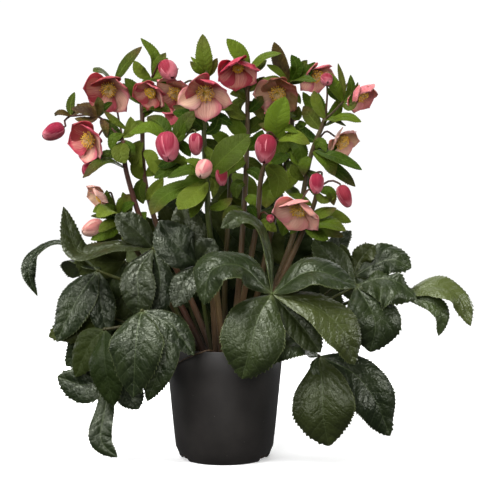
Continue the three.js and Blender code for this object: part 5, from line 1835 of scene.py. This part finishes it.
        ((-22, 492, 68), (-39, 501, 56), (-57, 498, 50), 11, (-1, -8.5, 4)),
        ((40, 489, 68), (57, 501, 56), (78, 498, 50), 11, (1, -8.5, 4)),
        ((-52, 516, 66), (-69, 528, 54), (-87, 528, 50), 10, (-1, -8.5, 4)),
        ((10, 444, 72), (-18, 438, 96), (-39, 423, 104), 12, (-1, 8, 5)),
        ((10, 444, 72), (39, 438, 96), (60, 420, 104), 12, (1, 8, 5)),
        ((9, 405, 68), (3, 384, 90), (-15, 363, 98), 12, (-1, 8.5, 4)),
        ((8, 390, 66), (21, 375, 88), (39, 357, 96), 12, (2, 8.5, 4)),
    ], buds=[
        Bud((10, 454, 74), (12, 478, 88), (10, 474, 100), (0, 6, -8), 14, 38),
    ], blooms=[
        Bloom("back_left", 600, (-52, 515, 66), [(-58, 533, 66)], (-60, 527, 82), (-3, 7.8, -5.5), 42, 0.6,
            0, 0.4),
        Bloom("back_right", 601, (62, 511, 66), [(68, 527, 66)], (72, 521, 82), (3, 7.8, -5.5), 42, 0.6, 30,
            0.3, 0.05),
    ]),
]


INNER_LEAVES = [
    InnerLeaf("inner_left", 30, (-28, 38), [(-54, 234, 45)], (-36, 291, 52), leaflets=[
        Leaflet([(-38, 246, 58), (-42, 183, 52)], 30, (0, -10, 2.5), 4),
        Leaflet([(-12, 255, 60), (3, 192, 54)], 28, (2, -10, 2), 3),
        Leaflet([(-60, 261, 50), (-81, 207, 44)], 26, (-3, -10, 3), 4),
        Leaflet([(-54, 312, 48), (-78, 315, 40)], 20, (-2, -9, 4), 3),
        Leaflet([(-69, 330, 48), (-98, 378, 38)], 20, (-1, -10, 1), 3),
        Leaflet([(-81, 312, 46), (-123, 360, 34)], 18, (-2, -10, 1), 3),
    ]),
    InnerLeaf("low_middle", 31, (24, 60), [(3, 201, 66)], (-15, 249, 72), leaflets=[
        Leaflet([(-37, 226, 70), (-47, 174, 60)], 30, (-2, -10, 3), 4),
        Leaflet([(-18, 216, 70), (-22, 163, 60)], 29, (0, -10, 3), 4),
        Leaflet([(12, 225, 70), (26, 174, 60)], 26, (2, -10, 3), 4),
    ]),
    InnerLeaf("inner_middle", 32, (12, 52), [(24, 234, 60)], (39, 312, 62), leaflets=[
        Leaflet([(39, 270, 70), (33, 213, 66)], 30, (0, -10, 3), 4),
        Leaflet([(60, 282, 66), (75, 234, 60)], 26, (3, -10, 3), 4),
        Leaflet([(15, 288, 66), (-6, 246, 62)], 26, (-2, -10, 3), 4),
        Leaflet([(66, 324, 58), (102, 330, 50)], 24, (1, -9, 5), 4),
        Leaflet([(24, 342, 64), (6, 366, 60)], 20, (-1, -9, 4), 3),
    ]),
    InnerLeaf("inner_right", 33, (42, 40), [(72, 219, 44)], (99, 285, 40), leaflets=[
        Leaflet([(110, 312, 34), (126, 339, 26)], 22, (2, -9, 4), 5),
        Leaflet([(82, 309, 36), (66, 336, 30)], 20, (-2, -9, 4), 4),
        Leaflet([(123, 291, 34), (150, 291, 24)], 22, (1, -9, 5), 4),
        Leaflet([(114, 258, 42), (132, 216, 36)], 28, (2, -10, 3), 4),
        Leaflet([(78, 258, 46), (60, 216, 44)], 26, (-2, -10, 3), 4),
    ]),
    InnerLeaf("behind_right", 34, (60, 16), [(141, 234, 10)], (194, 269, 0), shaded=False, leaflets=[
        Leaflet([(188, 288, 2), (182, 303, -4), (174, 318, -8)], 8, (-6, -8, 2), 2),
        Leaflet([(201, 291, 4), (213, 306, 0), (224, 317, -6)], 15, (0, -9.5, 3), 6),
        Leaflet([(225, 287, -2), (252, 294, -8), (280, 282, -14)], 27, (1, -9, 5), 6),
        Leaflet([(165, 282, 4), (141, 300, 2)], 16, (-1, -9, 5), 4),
        Leaflet([(216, 246, -6), (240, 210, -14)], 26, (2, -9.5, 3), 4),
    ]),
    InnerLeaf("shade_left", 35, (-50, 26), [(-108, 234, 34)], (-150, 291, 30), leaflets=[
        Leaflet([(-189, 291, 22), (-226, 303, 14)], 30, (0, -9.5, 4), 5),
        Leaflet([(-177, 261, 24), (-201, 228, 18)], 30, (-1, -10, 3), 4),
        Leaflet([(-168, 315, 26), (-192, 336, 20)], 20, (-1, -9, 5), 4),
        Leaflet([(-153, 249, 26), (-165, 201, 22)], 28, (0, -10, 3), 4),
        Leaflet([(-126, 258, 30), (-114, 210, 28)], 26, (2, -10, 3), 4),
    ]),
    InnerLeaf("shade_low_left", 36, (-60, -4), [(-126, 189, 10)], (-174, 210, 6), leaflets=[
        Leaflet([(-216, 198, -2), (-264, 179, -10)], 25, (-2, -9.5, 4), 4),
        Leaflet([(-207, 168, -2), (-238, 135, -8)], 24, (-2, -9.5, 3), 4),
        Leaflet([(-183, 165, 2), (-189, 108, -2)], 26, (0, -10, 3), 4),
        Leaflet([(-150, 174, 6), (-135, 120, 4)], 26, (2, -10, 3), 4),
    ]),
]


def main() -> None:
    """Builds and dresses the whole plant, and lights it."""
    logging.basicConfig(level=logging.INFO, format="%(message)s")
    cad_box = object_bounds()
    bpy.context.scene.view_settings.view_transform = "Standard"
    finishes = Finishes.make()
    NurseryPot().build(PotFinish().make())
    PottingSoil().build(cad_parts["soil"], [grown.stand for grown in (*LEAVES, *STALKS)])
    DryPetiole().build(finishes)
    for leaf in (*LEAVES, *INNER_LEAVES):
        leaf.build(finishes)
    for stalk in STALKS:
        stalk.build(finishes)
        for bloom in stalk.blooms:
            bloom.sepals(finishes)
            bloom.stamens(finishes)
    studio = Studio()
    studio.floor()
    studio.light()
    studio.camera()
    [[list(corner) for corner in box] for box in (cad_box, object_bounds())]


if __name__ == "__main__":
    main()
